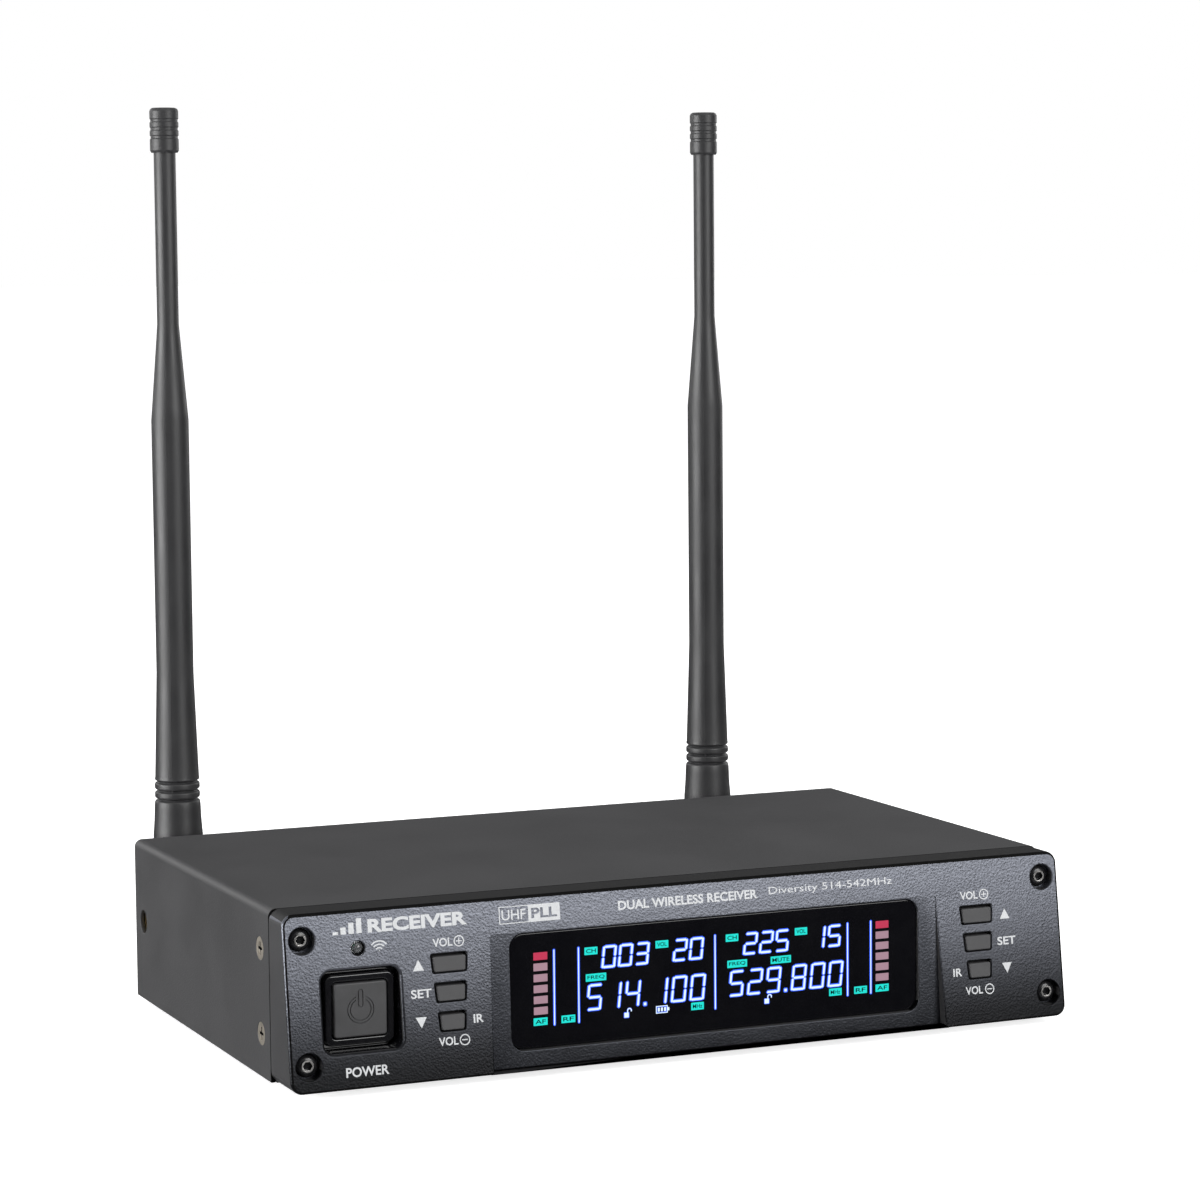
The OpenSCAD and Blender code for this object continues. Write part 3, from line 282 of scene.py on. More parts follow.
def makeGlow(name, colour, strength):
    material = bpy.data.materials.new(name)
    material.use_nodes = True
    tree = material.node_tree
    shader = tree.nodes["Principled BSDF"]
    place = tree.nodes.new("ShaderNodeTexCoord").outputs["Object"]
    cloud = tree.nodes.new("ShaderNodeTexNoise")  # the back light is a little uneven
    cloud.inputs["Scale"].default_value = 1 / (glow["cloud"] * mm)
    tree.links.new(place, cloud.inputs["Vector"])
    ramp = tree.nodes.new("ShaderNodeValToRGB")
    ramp.color_ramp.elements[0].color = (*[glow["dim"] * c for c in colour], 1)
    ramp.color_ramp.elements[1].color = (*colour, 1)
    tree.links.new(cloud.outputs["Fac"], ramp.inputs["Fac"])
    tree.links.new(ramp.outputs["Color"], shader.inputs["Emission Color"])
    shader.inputs["Emission Strength"].default_value = strength
    shader.inputs["Base Color"].default_value = glow["glass"]
    shader.inputs["Roughness"].default_value = glow["rough"]
    finishes[name] = material


for finishName, finishSetting in finishSettings.items():
    makeFinish(finishName, finishSetting)

shaderChanges = {
    "rim_painted_shade": {"Specular IOR Level": 0.04},
    "rim_top": {"Specular IOR Level": 0.18},
    "window_lens": {"Specular IOR Level": 0.35},
    "led_lens": {"Transmission Weight": 0.93, "IOR": 1.49},
}
for finishName, changes in shaderChanges.items():
    for inputName, value in changes.items():
        finishes[finishName].node_tree.nodes["Principled BSDF"].inputs[inputName].default_value = value

glowSettings = {  # colour and strength
    "figure_white": ((0.72, 0.86, 1.0), 1.25),
    "figure_blue": ((0.03, 0.12, 1.0), 1.5),
    "tag_cyan": ((0.0, 0.80, 0.70), 1.05),
    "bar_red": ((0.62, 0.03, 0.09), 0.95),
    "bar_pink": ((0.50, 0.30, 0.37), 0.85),
}
for glowName, (glowColour, glowStrength) in glowSettings.items():
    makeGlow(glowName, glowColour, glowStrength)

slotOf = {part["node"]: part["material_slot"] for part in frame["record"]["subparts"]}
for nodeName, node in frame["nodes"].items():
    paint(node, slotOf[nodeName])
print("finishes made")


softening = {
    "merge": 0.002,  # in mm: vertices closer than this are one
    "flat": math.radians(0.4),  # faces that turn by less are joined
    "sharpest": math.radians(50),  # edges that turn by more can be rounded
    "steps": 3,
    "smooth": math.radians(34),
    "faceWeight": 100,
}


def nodeCopy(node, name):
    piece = bpy.data.objects.new(name, frame["nodes"][node].data.copy())
    piece.data.name = name
    bpy.context.scene.collection.objects.link(piece)
    selectOnly(piece)
    bpy.ops.object.mode_set(mode="EDIT")
    bpy.ops.mesh.select_all(action="SELECT")
    bpy.ops.mesh.customdata_custom_splitnormals_clear()
    bpy.ops.mesh.remove_doubles(threshold=softening["merge"] * mm)
    bpy.ops.mesh.dissolve_limited(angle_limit=softening["flat"])
    bpy.ops.object.mode_set(mode="OBJECT")
    return piece


def roundEdges(piece, width, chosen):
    selectOnly(piece)
    bpy.ops.object.mode_set(mode="EDIT")
    bpy.ops.mesh.select_mode(type="EDGE")
    bpy.ops.mesh.select_all(action="DESELECT")
    work = bmesh.from_edit_mesh(piece.data)
    count = 0
    for edge in work.edges:
        if len(edge.link_faces) == 2 and edge.calc_face_angle() > softening["sharpest"]:
            edge.select = chosen((edge.verts[0].co + edge.verts[1].co) / 2)
            count += edge.select
    bmesh.update_edit_mesh(piece.data)
    if count:
        bpy.ops.mesh.bevel(offset=width * mm, segments=softening["steps"], affect="EDGES",
                           clamp_overlap=False, loop_slide=False)
    bpy.ops.object.mode_set(mode="OBJECT")


def finishSurface(piece):
    selectOnly(piece)
    bpy.ops.object.shade_smooth_by_angle(angle=softening["smooth"])
    weighted = piece.modifiers.new("flatFaces", "WEIGHTED_NORMAL")
    weighted.keep_sharp = True
    weighted.weight = softening["faceWeight"]
    bpy.ops.object.modifier_apply(modifier=weighted.name)


def anywhere(at):
    return True


def keepInBox(piece, node):
    low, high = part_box(node)  # where a rounding meets a shallow corner it can overshoot
    for vertex in piece.data.vertices:
        vertex.co = [min(max(at, least), most) for at, least, most in zip(vertex.co, low, high)]


def softNode(node, passes, body="receiver"):
    piece = nodeCopy(node, node + "_body")
    for width, chosen in passes:
        roundEdges(piece, width, chosen)
    keepInBox(piece, node)
    finishSurface(piece)
    mount(piece, body, slotOf[node])
    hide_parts(node)
    return piece


bezel = {
    "lean": math.radians(7.8),  # of the face, from upright
    "corner": 3.0,  # radius of the outline, in mm like all that follows
    "rim": 0.7,  # roundings
    "pocket": 0.8,
    "opening": 0.3,
    "window": 0.25,
    "outlineReach": 0.1,  # how near the outline and the face an edge has to be
    "faceReach": 0.3,
    "rimDepth": 4,
    "windowReach": 0.2,
    "windowDepth": 1,
    "pocketReach": 0.6,
}
bezelAreas = {
    "pocketDepth": 0.7,  # in mm behind the face, where the gloss of the pocket starts
    "sideDepth": 0.6,
    "edgeDepth": 1.2,
    "edgeWidth": 0.8,
    "frameWidth": 1.2,  # round the window
    "upwards": 0.5,  # parts of a face's normal
    "square": 0.95,
    "flat": 0.98,
    "leftwards": -0.3,
    "upright": 0.9,
    "forwards": 0.2,
}
bezelFinishes = ("bezel_paint", "chassis_paint", "rim_painted_shade", "rim_top", "gloss_black", "lip_less_painted_shade")
pocketLow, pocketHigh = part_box("power_surround")
windowLow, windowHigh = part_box("display_window")


def within(at, low, high, margin):
    return low.x - margin < at.x < high.x + margin and low.z - margin < at.z < high.z + margin


def faceDepth(at):  # how far a point lies behind the leaning face
    return at.y - bezelLow.y - (at.z - bezelLow.z) * math.tan(bezel["lean"])


def outside(at, low, high, radius):
    middle = (low + high) / 2  # distance from the outline of a rounded plate that stands in X and Z
    across = abs(at.x - middle.x) - (high.x - middle.x - radius)
    up = abs(at.z - middle.z) - (high.z - middle.z - radius)
    return math.hypot(max(across, 0), max(up, 0)) + min(max(across, up), 0) - radius


def outsideRim(at):
    return outside(at, bezelLow, bezelHigh, bezel["corner"] * mm)


def onRim(at):
    return abs(outsideRim(at)) < bezel["outlineReach"] * mm and faceDepth(at) < bezel["rimDepth"] * mm


def inWindow(at):
    return within(at, windowLow, windowHigh, bezel["windowReach"] * mm)


def inPocket(at):
    return within(at, pocketLow, pocketHigh, bezel["pocketReach"] * mm)


def onWindow(at):
    return inWindow(at) and at.y < windowLow.y + bezel["windowDepth"] * mm


def onPocket(at):
    return inPocket(at) and faceDepth(at) < bezel["faceReach"] * mm


def onOpening(at):
    return not (onRim(at) or inWindow(at) or inPocket(at)) and abs(faceDepth(at)) < bezel["faceReach"] * mm


def inFrame(face):
    return all(within(bezelBody.data.vertices[i].co, windowLow, windowHigh, bezelAreas["frameWidth"] * mm)
               for i in face.vertices)


def bezelFinish(face):
    at, normal, area = face.center, face.normal, bezelAreas
    depth, past = faceDepth(at) / mm, outsideRim(at) / mm
    leaning = -normal.y * math.cos(bezel["lean"]) + normal.z * math.sin(bezel["lean"])
    if inPocket(at) and depth > area["pocketDepth"]:
        return "gloss_black"
    if past > -bezel["outlineReach"] and depth > area["sideDepth"] and normal.z > area["upwards"]:
        return "rim_top"
    if depth > area["sideDepth"] and max(abs(normal.x), abs(normal.z)) > area["square"]:
        return "chassis_paint"
    if (past > -area["edgeWidth"] and leaning < area["flat"] and depth < area["edgeDepth"]
            and normal.x > area["leftwards"]):
        return "rim_painted_shade"  # painted shade: the rounded edge is black, apart from the left one, which the light reaches
    if normal.y < -area["upright"] and normal.z < math.sin(bezel["lean"]) / 2:
        return "lip_less_painted_shade"  # the upright block round the window gets less painted shade at its foot
    if normal.y < -area["forwards"] and inFrame(face):
        return "lip_less_painted_shade"
    return "bezel_paint"


bezelBody = softNode("front_bezel", [(bezel["window"], onWindow), (bezel["pocket"], onPocket),
                                     (bezel["opening"], onOpening), (bezel["rim"], onRim)])
for finish in bezelFinishes[1:]:
    bezelBody.data.materials.append(finishes[finish])
for face in bezelBody.data.polygons:
    face.material_index = bezelFinishes.index(bezelFinish(face))

cover = {
    "edge": 0.25,  # rounding in mm, and how deep the painted seam shade on the cut edge at the front goes
    "cut": 0.3,
    "forwards": 0.15,
}
coverBody = softNode("top_cover", [(cover["edge"], anywhere)])
coverBody.data.materials.append(finishes["rim_painted_shade"])
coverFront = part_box("top_cover")[0].y
for face in coverBody.data.polygons:
    if face.center.y < coverFront + cover["cut"] * mm and face.normal.y < -cover["forwards"]:
        face.material_index = 1  # painted shade on the cut edge in the seam behind the bezel

screws = {
    "edge": 0.12,  # rounding in mm
    "reach": 2.85,  # from a screw's axis to the end of the box of all four
    "ring": (0.95, 1.72),  # radii of the bright band round the hexagon
    "hexagon": 1.25,  # faces within this radius stay dark
    "forwards": 0.5,
}
screwBody = softNode("bezel_screws", [(screws["edge"], anywhere)])
screwBody.data.materials.append(finishes["nickel"])
screwLow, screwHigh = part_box("bezel_screws")
screwReach = screws["reach"] * mm
axes = [(x, z) for x in (screwLow.x + screwReach, screwHigh.x - screwReach)
        for z in (screwLow.z + screwReach, screwHigh.z - screwReach)]


def inScrewRing(face):
    points = [screwBody.data.vertices[i].co for i in face.vertices]
    away = [min(math.hypot(at.x - x, at.z - z) for x, z in axes) / mm for at in points]
    inner, outer = screws["ring"]
    return inner < min(away) and screws["hexagon"] < max(away) < outer and face.normal.y < -screws["forwards"]


for face in screwBody.data.polygons:
    if inScrewRing(face):
        face.material_index = 1

edges = {  # roundings in mm
    "display_window": 0.3,
    "power_surround": 0.4,
    "power_button": 0.45,
    "key": 0.28,
    "mix_jack_nut": 0.25,
    "rubber_feet": 0.4,
    "rear_screws": 0.15,
    "side_screws": 0.08,
    "coupling_ring": 0.18,
    "knuckle": 0.2,
    "whip": 0.3,
}
for node in ("display_window", "power_surround"):
    softNode(node, [(edges[node], anywhere)])
capLow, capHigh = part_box("power_button")
capMiddle = (capLow + capHigh) / 2
signReach = 5.5  # half width in mm of the cap's middle, where the moulded sign stands and nothing is rounded


def onCapEdge(at):
    return max(abs(at.x - capMiddle.x), abs(at.z - capMiddle.z)) > signReach * mm


softNode("power_button", [(edges["power_button"], onCapEdge)], "power_cap")
for side in ("left", "right"):
    for key in ("up", "set", "down"):
        softNode(f"{side}_{key}_key", [(edges["key"], anywhere)], f"{side}_{key}")
for node in ("mix_jack_nut", "rubber_feet", "rear_screws"):
    softNode(node, [(edges[node], anywhere)])
sideScrews = softNode("side_screws", [(edges["side_screws"], anywhere)])

flange = {  # of the balanced outputs, in mm
    "corner": 2.0,
    "edge": 0.4,
    "reach": 0.1,
}


def softFlange(node):
    low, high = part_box(node)

    def onOutline(at):
        return abs(outside(at, low, high, flange["corner"] * mm)) < flange["reach"] * mm

    softNode(node, [(flange["edge"], onOutline)])


softFlange("xlr_output_a")
softFlange("xlr_output_b")

recessShade = {  # painted shade in the cross recess of a side screw: its walls and floor, in mm below its face
    "walls": (0.12, 1.1),
    "floor": (0.6, 1.1),
    "wallNormal": 0.35,  # a wall's normal leans less than this along the screw, the floor's more than that
    "floorNormal": 0.9,
}
# the recess walls and floor of the steel side screws get the black screw finish: painted shade
sideScrews.data.materials.append(finishes["black_screw"])
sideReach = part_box("side_screws")[1].x
for face in sideScrews.data.polygons:
    depth, along = (sideReach - abs(face.center.x)) / mm, abs(face.normal.x)
    wall = recessShade["walls"][0] < depth < recessShade["walls"][1] and along < recessShade["wallNormal"]
    floor = recessShade["floor"][0] < depth < recessShade["floor"][1] and along > recessShade["floorNormal"]
    if wall or floor:
        face.material_index = 1
for side in ("left", "right"):
    for part, body in (("coupling_ring", "ring"), ("knuckle", "elbow"), ("whip", "antenna")):
        softNode(f"{part}_{side}", [(edges[part], anywhere)], f"{body}_{side}")
print("bezel, cover, keys and window softened")

seam = {
    "angle": math.radians(30),  # from the front towards the left
    "width": 0.26,  # in mm
    "height": 0.05,
    "foot": 50,  # where it starts and ends, in mm above the floor
    "top": 229,
    "step": 2,
    "reach": 20,  # from the whip's axis, where the search for its skin starts
}


def mouldLine(side):
    whip = bpy.data.objects[f"whip_{side}_body"]
    low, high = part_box(f"whip_{side}")
    axis = (low + high) / 2
    outward = Vector((-math.sin(seam["angle"]), -math.cos(seam["angle"]), 0))
    across = Vector((outward.y, -outward.x, 0)) * seam["width"] * mm / 2
    work = bmesh.new()
    rows = []
    for z in range(seam["foot"], seam["top"], seam["step"]):
        start = Vector((axis.x, axis.y, z * mm)) + outward * seam["reach"] * mm
        hit, at, _, _ = whip.ray_cast(whip.matrix_world.inverted() @ start, -outward)
        if hit:
            skin = whip.matrix_world @ at
            ridge = skin + outward * seam["height"] * mm
            buried = skin - outward * seam["height"] * mm
            section = (buried - across, ridge - across / 3, ridge + across / 3, buried + across)
            rows.append([work.verts.new(v) for v in section])
    for lower, upper in zip(rows, rows[1:]):
        for i in range(len(lower)):
            k = (i + 1) % len(lower)
            work.faces.new((lower[i], lower[k], upper[k], upper[i]))
    work.faces.new(rows[0][::-1])
    work.faces.new(rows[-1])
    bmesh.ops.recalc_face_normals(work, faces=work.faces)
    mesh = bpy.data.meshes.new(f"mould_line_{side}")
    work.to_mesh(mesh)
    work.free()
    line = bpy.data.objects.new(f"mould_line_{side}", mesh)
    bpy.context.scene.collection.objects.link(line)
    mount(line, f"antenna_{side}", "rubber")


mouldLine("left")
mouldLine("right")
print("mould lines set")


ink = {  # of all printed lettering
    "curve": 4,  # steps of a letter's curves
    "extrude": 0.006,  # of the font's unit
    "depth": 0.012,  # thickness in mm
    "lift": 0.012,  # above the paint, and where it lies over other print
    "overprint": 0.03,
}


def lettering(text, x0, x1, z, height, weight):
    bpy.ops.object.select_all(action="DESELECT")
    bpy.ops.object.text_add()
    words = bpy.context.active_object
    words.data.body = text
    words.data.offset = weight
    words.data.resolution_u = ink["curve"]
    words.data.extrude = ink["extrude"]
    bpy.ops.object.convert(target="MESH")
    points = [v.co for v in words.data.vertices]
    low = Vector([min(c[i] for c in points) for i in range(3)])
    high = Vector([max(c[i] for c in points) for i in range(3)])
    wide = (x1 - x0) * mm / (high.x - low.x)
    tall = height * mm / (high.y - low.y)
    toBox = Matrix.Diagonal((wide, tall, mm, 1)) @ Matrix.Translation((-low.x, -(low.y + high.y) / 2, 0))
    words.data.transform(Matrix.Translation((x0 * mm, z * mm, 0)) @ toBox)
    return words


def arcBand(x, z, radius, width, start, end, steps):
    bpy.ops.object.select_all(action="DESELECT")
    bpy.ops.mesh.primitive_plane_add(size=1)
    band = bpy.context.active_object
    band.data.transform(Matrix.Diagonal((width * mm, width * mm, 1, 1)))
    bpy.ops.object.mode_set(mode="EDIT")
    bpy.ops.mesh.select_all(action="DESELECT")
    work = bmesh.from_edit_mesh(band.data)
    keep = [v for v in work.verts if v.co.y < 0]
    bmesh.ops.delete(work, geom=[v for v in work.verts if v.co.y > 0], context="VERTS")
    for v in keep:
        v.co = Vector((radius * mm + v.co.x, 0, 0))
        v.select = True
    work.select_flush(True)
    bmesh.update_edit_mesh(band.data)
    bpy.ops.mesh.spin(steps=steps, angle=math.radians(start - end), center=(0, 0, 0), axis=(0, 0, 1))
    bpy.ops.object.mode_set(mode="OBJECT")
    turn = Matrix.Rotation(math.radians(start), 4, "Z")
    band.data.transform(Matrix.Translation((x * mm, z * mm, 0)) @ turn)
    return band


def block(points):
    work = bmesh.new()
    work.faces.new([work.verts.new((x * mm, z * mm, 0)) for x, z in points])
    mesh = bpy.data.meshes.new("block")
    work.to_mesh(mesh)
    work.free()
    piece = bpy.data.objects.new("block", mesh)
    bpy.context.scene.collection.objects.link(piece)
    return piece


def bar(x0, x1, z0, z1):
    return block([(x0, z0), (x1, z0), (x1, z1), (x0, z1)])


def roundBar(x0, x1, z0, z1, radius, steps=5):
    outline = []
    for cx, cz, start in ((x1 - radius, z1 - radius, 0), (x0 + radius, z1 - radius, 90),
                          (x0 + radius, z0 + radius, 180), (x1 - radius, z0 + radius, 270)):
        for i in range(steps + 1):
            a = math.radians(start + 90 * i / steps)
            outline.append((cx + radius * math.cos(a), cz + radius * math.sin(a)))
    return block(outline)


def solid(piece, depth):
    selectOnly(piece)
    wall = piece.modifiers.new("ink", "SOLIDIFY")
    wall.thickness = depth * mm
    wall.offset = 0
    bpy.ops.object.modifier_apply(modifier=wall.name)
    return piece


# each label: text, left and right end in mm from the middle of the unit, height of its middle above the
# bezel's foot, height of its letters, weight
labels = {
    "left": [("VOL", -68.2, -63.1, 33.0, 2.05, 0.02), ("SET", -74.5, -69.2, 21.2, 2.1, 0.02),
             ("IR", -58.8, -56.2, 14.1, 2.05, 0.02), ("VOL", -68.1, -63.05, 9.3, 2.05, 0.02),
             ("POWER", -92.1, -81.2, 4.2, 2.35, 0.02)],
    "right": [("VOL", 76.9, 82.0, 33.0, 2.05, 0.02), ("SET", 87.0, 92.4, 20.7, 2.1, 0.02),
              ("IR", 73.5, 76.1, 13.7, 2.05, 0.02), ("VOL", 76.8, 81.8, 8.8, 2.05, 0.02)],
    "header": [("DUAL WIRELESS RECEIVER", -18.9, 19.3, 38.1, 2.3, 0.028),
               ("Diversity 514-542MHz", 22.5, 57.5, 38.3, 2.4, 0.0),
               ("RECEIVER", -84.5, -59.0, 38.4, 3.3, 0.04),
               ("UHF", -49.9, -43.6, 38.1, 2.5, 0.01)],
}
marks = {
    "volumes": [(-61.4, 33.0, "more"), (-61.35, 9.3, "less"), (83.85, 33.0, "more"), (83.8, 8.8, "less")],
    "ring": (1.22, 0.28),  # radius and width of its line
    "sign": (0.75, 0.13),  # half length and half width of the strokes in the ring
    "triangles": [(-72.2, 28.0, 1), (-72.25, 14.3, -1), (89.6, 27.6, 1), (89.35, 13.75, -1)],
    "triangle": (1.42, 1.32),  # half width and half height
    "waves": (-81.9, 32.0),  # middle of the signal waves beside the lamp
    "waveRadii": (1.05, 1.85, 2.65),
    "waveWidth": 0.34,
    "waveArc": (43, 137),
    "waveDot": (-81.9, 32.25, 0.01, 0.36),
    "bars": (-93.4, 36.9, 37.6),  # left end, foot and lowest top of the rising bars
    "barPitch": (2.0, 0.95),
    "barWidth": 1.35,
    # badge of two cells: its upper and lower rail, the left wall and the filled right cell
    "badge": [(-50.6, -34.5, 40.0, 40.2), (-50.6, -34.5, 36.0, 36.2), (-50.6, -50.35, 36.2, 40.0),
              (-42.9, -34.5, 36.2, 40.0)],
    "badgeWord": ("PLL", -42.1, -35.3, 38.1, 2.5, 0.03),
}


def standOnFace(piece, lift):
    lean = bezel["lean"]
    stand = Matrix.Rotation(math.pi / 2 - lean, 4, "X")
    rise = Matrix.Diagonal((1, 1 / math.cos(lean), 1, 1))  # heights are vertical, the face is not
    piece.data.transform(Matrix.Translation((0, bezelLow.y, bezelLow.z))
                         @ stand @ Matrix.Translation((0, 0, lift * mm)) @ rise)


def volumeSigns():
    shapes = []
    long, thin = marks["sign"]
    for x, z, sign in marks["volumes"]:
        shapes.append(arcBand(x, z, *marks["ring"], 0, 360, 40))
        shapes.append(bar(x - long, x + long, z - thin, z + thin))
        if sign == "more":
            shapes.append(bar(x - thin, x + thin, z - long, z - thin))
            shapes.append(bar(x - thin, x + thin, z + thin, z + long))
    return shapes


def triangles():
    half, tall = marks["triangle"]
    return [block([(x - half * up, z - tall * up), (x + half * up, z - tall * up), (x, z + tall * up)])
            for x, z, up in marks["triangles"]]


def signalWaves():
    shapes = [arcBand(*marks["waveDot"], 0, 360, 16)]
    for radius in marks["waveRadii"]:
        shapes.append(arcBand(*marks["waves"], radius, marks["waveWidth"], *marks["waveArc"], 14))
    return shapes


def risingBars():
    left, foot, lowest = marks["bars"]
    step, rise = marks["barPitch"]
    places = [(left + step * i, lowest + rise * i) for i in range(4)]
    return [bar(x, x + marks["barWidth"], foot, top) for x, top in places]


def frontLettering():
    words = [lettering(*label) for group in labels.values() for label in group]
    badge = [bar(*cell) for cell in marks["badge"]]
    signs = volumeSigns() + triangles() + signalWaves() + risingBars() + badge
    sheet = joinPieces([solid(joinPieces(signs, "marks"), ink["depth"])] + words, "front_lettering")
    standOnFace(sheet, ink["lift"])
    mount(sheet, "receiver", "print_white")
    dark = lettering(*marks["badgeWord"])
    dark.name = dark.data.name = "badge_lettering"
    standOnFace(dark, ink["overprint"])
    mount(dark, "receiver", "bezel_paint")


rear = {
    # text, middle, width, height of its middle and of its letters
    "labels": [("ANT A", -82.4, 8.5, 33.6, 2.0), ("ANT B", 82.4, 8.5, 33.6, 2.0),
               ("DC IN", 52, 8.0, 31.0, 2.0), ("MIX OUT", 24, 12.0, 33.6, 2.0),
               ("BALANCED OUT A", -45, 21.5, 39.2, 1.9), ("BALANCED OUT B", -11, 21.5, 39.2, 1.9)],
    "weight": 0.02,
    "socketRings": [(24, 9.2), (52, 6.0)],  # thin ring printed round a socket: middle and radius
    "ringWidth": 0.25,
    "socketZ": 21.25,
}


def rearLettering():
    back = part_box("rear_panel")[1].y
    words = [lettering(text, -x - wide / 2, -x + wide / 2, z, tall, rear["weight"])
             for text, x, wide, z, tall in rear["labels"]]
    rings = [arcBand(-x, rear["socketZ"], radius, rear["ringWidth"], 0, 360, 48)
             for x, radius in rear["socketRings"]]
    sheet = joinPieces([solid(joinPieces(rings, "rings"), ink["depth"])] + words, "rear_lettering")
    stand = Matrix.Rotation(math.pi, 4, "Z") @ Matrix.Rotation(math.pi / 2, 4, "X")
    sheet.data.transform(Matrix.Translation((0, back + ink["lift"] * mm, bezelLow.z)) @ stand)
    mount(sheet, "receiver", "print_white")


frontLettering()
rearLettering()
print("lettering set")


segmentsOf = {"0": "abcdef", "1": "bc", "2": "abged", "3": "abgcd", "4": "fgbc", "5": "afgcd", "8": "abcdefg",
              "9": "abcdfg"}
display = {  # sizes in mm, x from the middle of the unit and heights from the bezel's foot
    "stroke": 0.6,  # width of a figure's stroke
    "shoulder": 0.2,  # a stroke's end, as parts of half its width
    "tip": 0.9,
    "thinSide": 0.75,
    "halo": 0.26,  # how far the blue edge passes the white
    "postHalo": 0.8,  # the part of it that posts and icons have
    "iconHalo": 0.6,
    "slant": math.tan(math.radians(6)),
    "break": 0.09,  # between strokes
    "round": 0.12,
    "depth": 0.01,
    # how far each layer stands off the window
    "lifts": {"edges": 0.008, "tags": 0.015, "bars": 0.015, "figures": 0.022, "words": 0.03},
    "numbers": [  # signs with the left end of each cell, the foot's height, width and height
        ("003", (-23.66, -19.2, -14.75), 22.75, 3.75, 5.65),
        ("20", (-4.32, 0.12), 22.75, 3.75, 5.65),
        ("514100", (-27.84, -22.72, -17.53, -10.08, -4.89, 0.23), 12.45, 4.0, 6.6),
        ("225", (15.11, 19.55, 23.95), 22.75, 3.75, 5.65),
        ("15", (34.2, 38.7), 22.75, 3.75, 5.65),
        ("529800", (10.98, 16.17, 21.29, 28.45, 33.71, 38.83), 12.45, 4.0, 6.6),
    ],
    "dots": [(-11.9, 12.5), (27.0, 12.5)],
    "dot": (0.35, 0.7),  # half width and height
    "posts": [-36.28, -29.75, 7.38, 44.6, 51.25],
    "post": (0.13, 9.8, 28.6),  # half width, foot and top
    "padlocks": [(-16.7, 11.15), (21.95, 11.15)],
    "battery": (-7.25, 11.05),
    "tags": [  # text, middle, width
        ("CH", -26.4, 27.45, 3.5), ("VOL", -7.2, 27.5, 3.5), ("FREQ", -25.1, 20.75, 5.5),
        ("MHz", 2.45, 11.0, 3.5), ("RF", -32.6, 11.0, 3.7), ("AF", -40.0, 11.0, 3.7),
        ("CH", 12.1, 27.5, 3.5), ("VOL", 31.4, 27.55, 3.5), ("FREQ", 13.5, 20.8, 5.5),
        ("MUTE", 25.7, 20.8, 5.7), ("MHz", 41.1, 11.1, 3.6), ("RF", 48.3, 11.0, 3.7),
        ("AF", 54.5, 11.0, 3.8),
    ],
    "tagHalf": 0.95,  # half height of a tag, and the height, side margin and weight of its letters
    "tagWord": (1.05, 0.45, 0.01),
    "meters": [  # middle, and the heights of the bars, the top one red
        (-39.9, (27.3, 24.6, 21.87, 19.15, 16.42, 13.7)),
        (54.5, (27.4, 24.7, 21.97, 19.25, 16.52, 13.8)),
    ],
    "meterBar": (1.85, 0.95),  # half width and half height
}


def stroke(x0, z0, x1, z1, wide):
    along = Vector((x1 - x0, z1 - z0)).normalized() * wide / 2
    side = Vector((-along.y, along.x))
    a, b = Vector((x0, z0)), Vector((x1, z1))
    shoulder, tip = along * display["shoulder"], along * display["tip"]
    thin = side * display["thinSide"]
    return [a - shoulder - thin, a - tip, a - shoulder + side,
            b + shoulder + side, b + tip, b + shoulder - thin]


def figure(sign, x, z, w, h, extra):
    s, gap = display["stroke"], display["break"]
    wide = s + 2 * extra
    inset = s / 2
    level = {"low": z + inset, "mid": z + h / 2, "high": z + h - inset}
    left, right = x + inset, x + w - inset
    cut = inset + gap
    lines = {
        "a": (left + cut, level["high"], right - cut, level["high"]),
        "g": (left + cut, level["mid"], right - cut, level["mid"]),
        "d": (left + cut, level["low"], right - cut, level["low"]),
        "f": (left, level["mid"] + cut, left, level["high"] - gap),
        "b": (right, level["mid"] + cut, right, level["high"] - gap),
        "e": (left, level["low"] + gap, left, level["mid"] - cut),
        "c": (right, level["low"] + gap, right, level["mid"] - cut),
    }
    shapes = []
    for name in segmentsOf[sign]:
        points = stroke(*lines[name], wide)
        shapes.append(block([(p.x + (p.y - z) * display["slant"], p.y) for p in points]))
    return shapes


def rectangle(x0, x1, z0, z1, grow=0.0):
    return roundBar(x0 - grow, x1 + grow, z0 - grow, z1 + grow, display["round"] + grow)


icons = {  # of the display, in mm from each icon's own middle
    "lock": (-0.85, 0.35, -1.25, -0.05),  # left, right, foot and top of its body
    "shackle": (0.55, 0.45, 0.5, 0.26),  # middle, radius and width of the line
    "legs": ((0.05, -0.05), (1.05, 0.15)),  # middle and foot of each leg of the shackle
    "leg": (0.13, 0.5),  # half width and top
    "battery": (-1.7, 1.5, -0.95, 0.95),
    "batteryWall": 0.2,
    "batteryTip": (1.95, 0.4),  # right end and half height
    "charge": (-1.2, 0.85, 0.55, 0.5),  # left end, pitch, width and half height of its bars
    "chargeBars": 3,
}


def padlock(x, z, extra):  # open, its shackle swung to the right of the body
    left, right, low, high = icons["lock"]
    across, up, radius, width = icons["shackle"]
    half, top = icons["leg"]
    shapes = [rectangle(x + left, x + right, z + low, z + high, extra),
              arcBand(x + across, z + up, radius, width + extra, 0, 180, 10)]
    for at, foot in icons["legs"]:
        shapes.append(bar(x + at - half, x + at + half, z + foot, z + top))
    return shapes


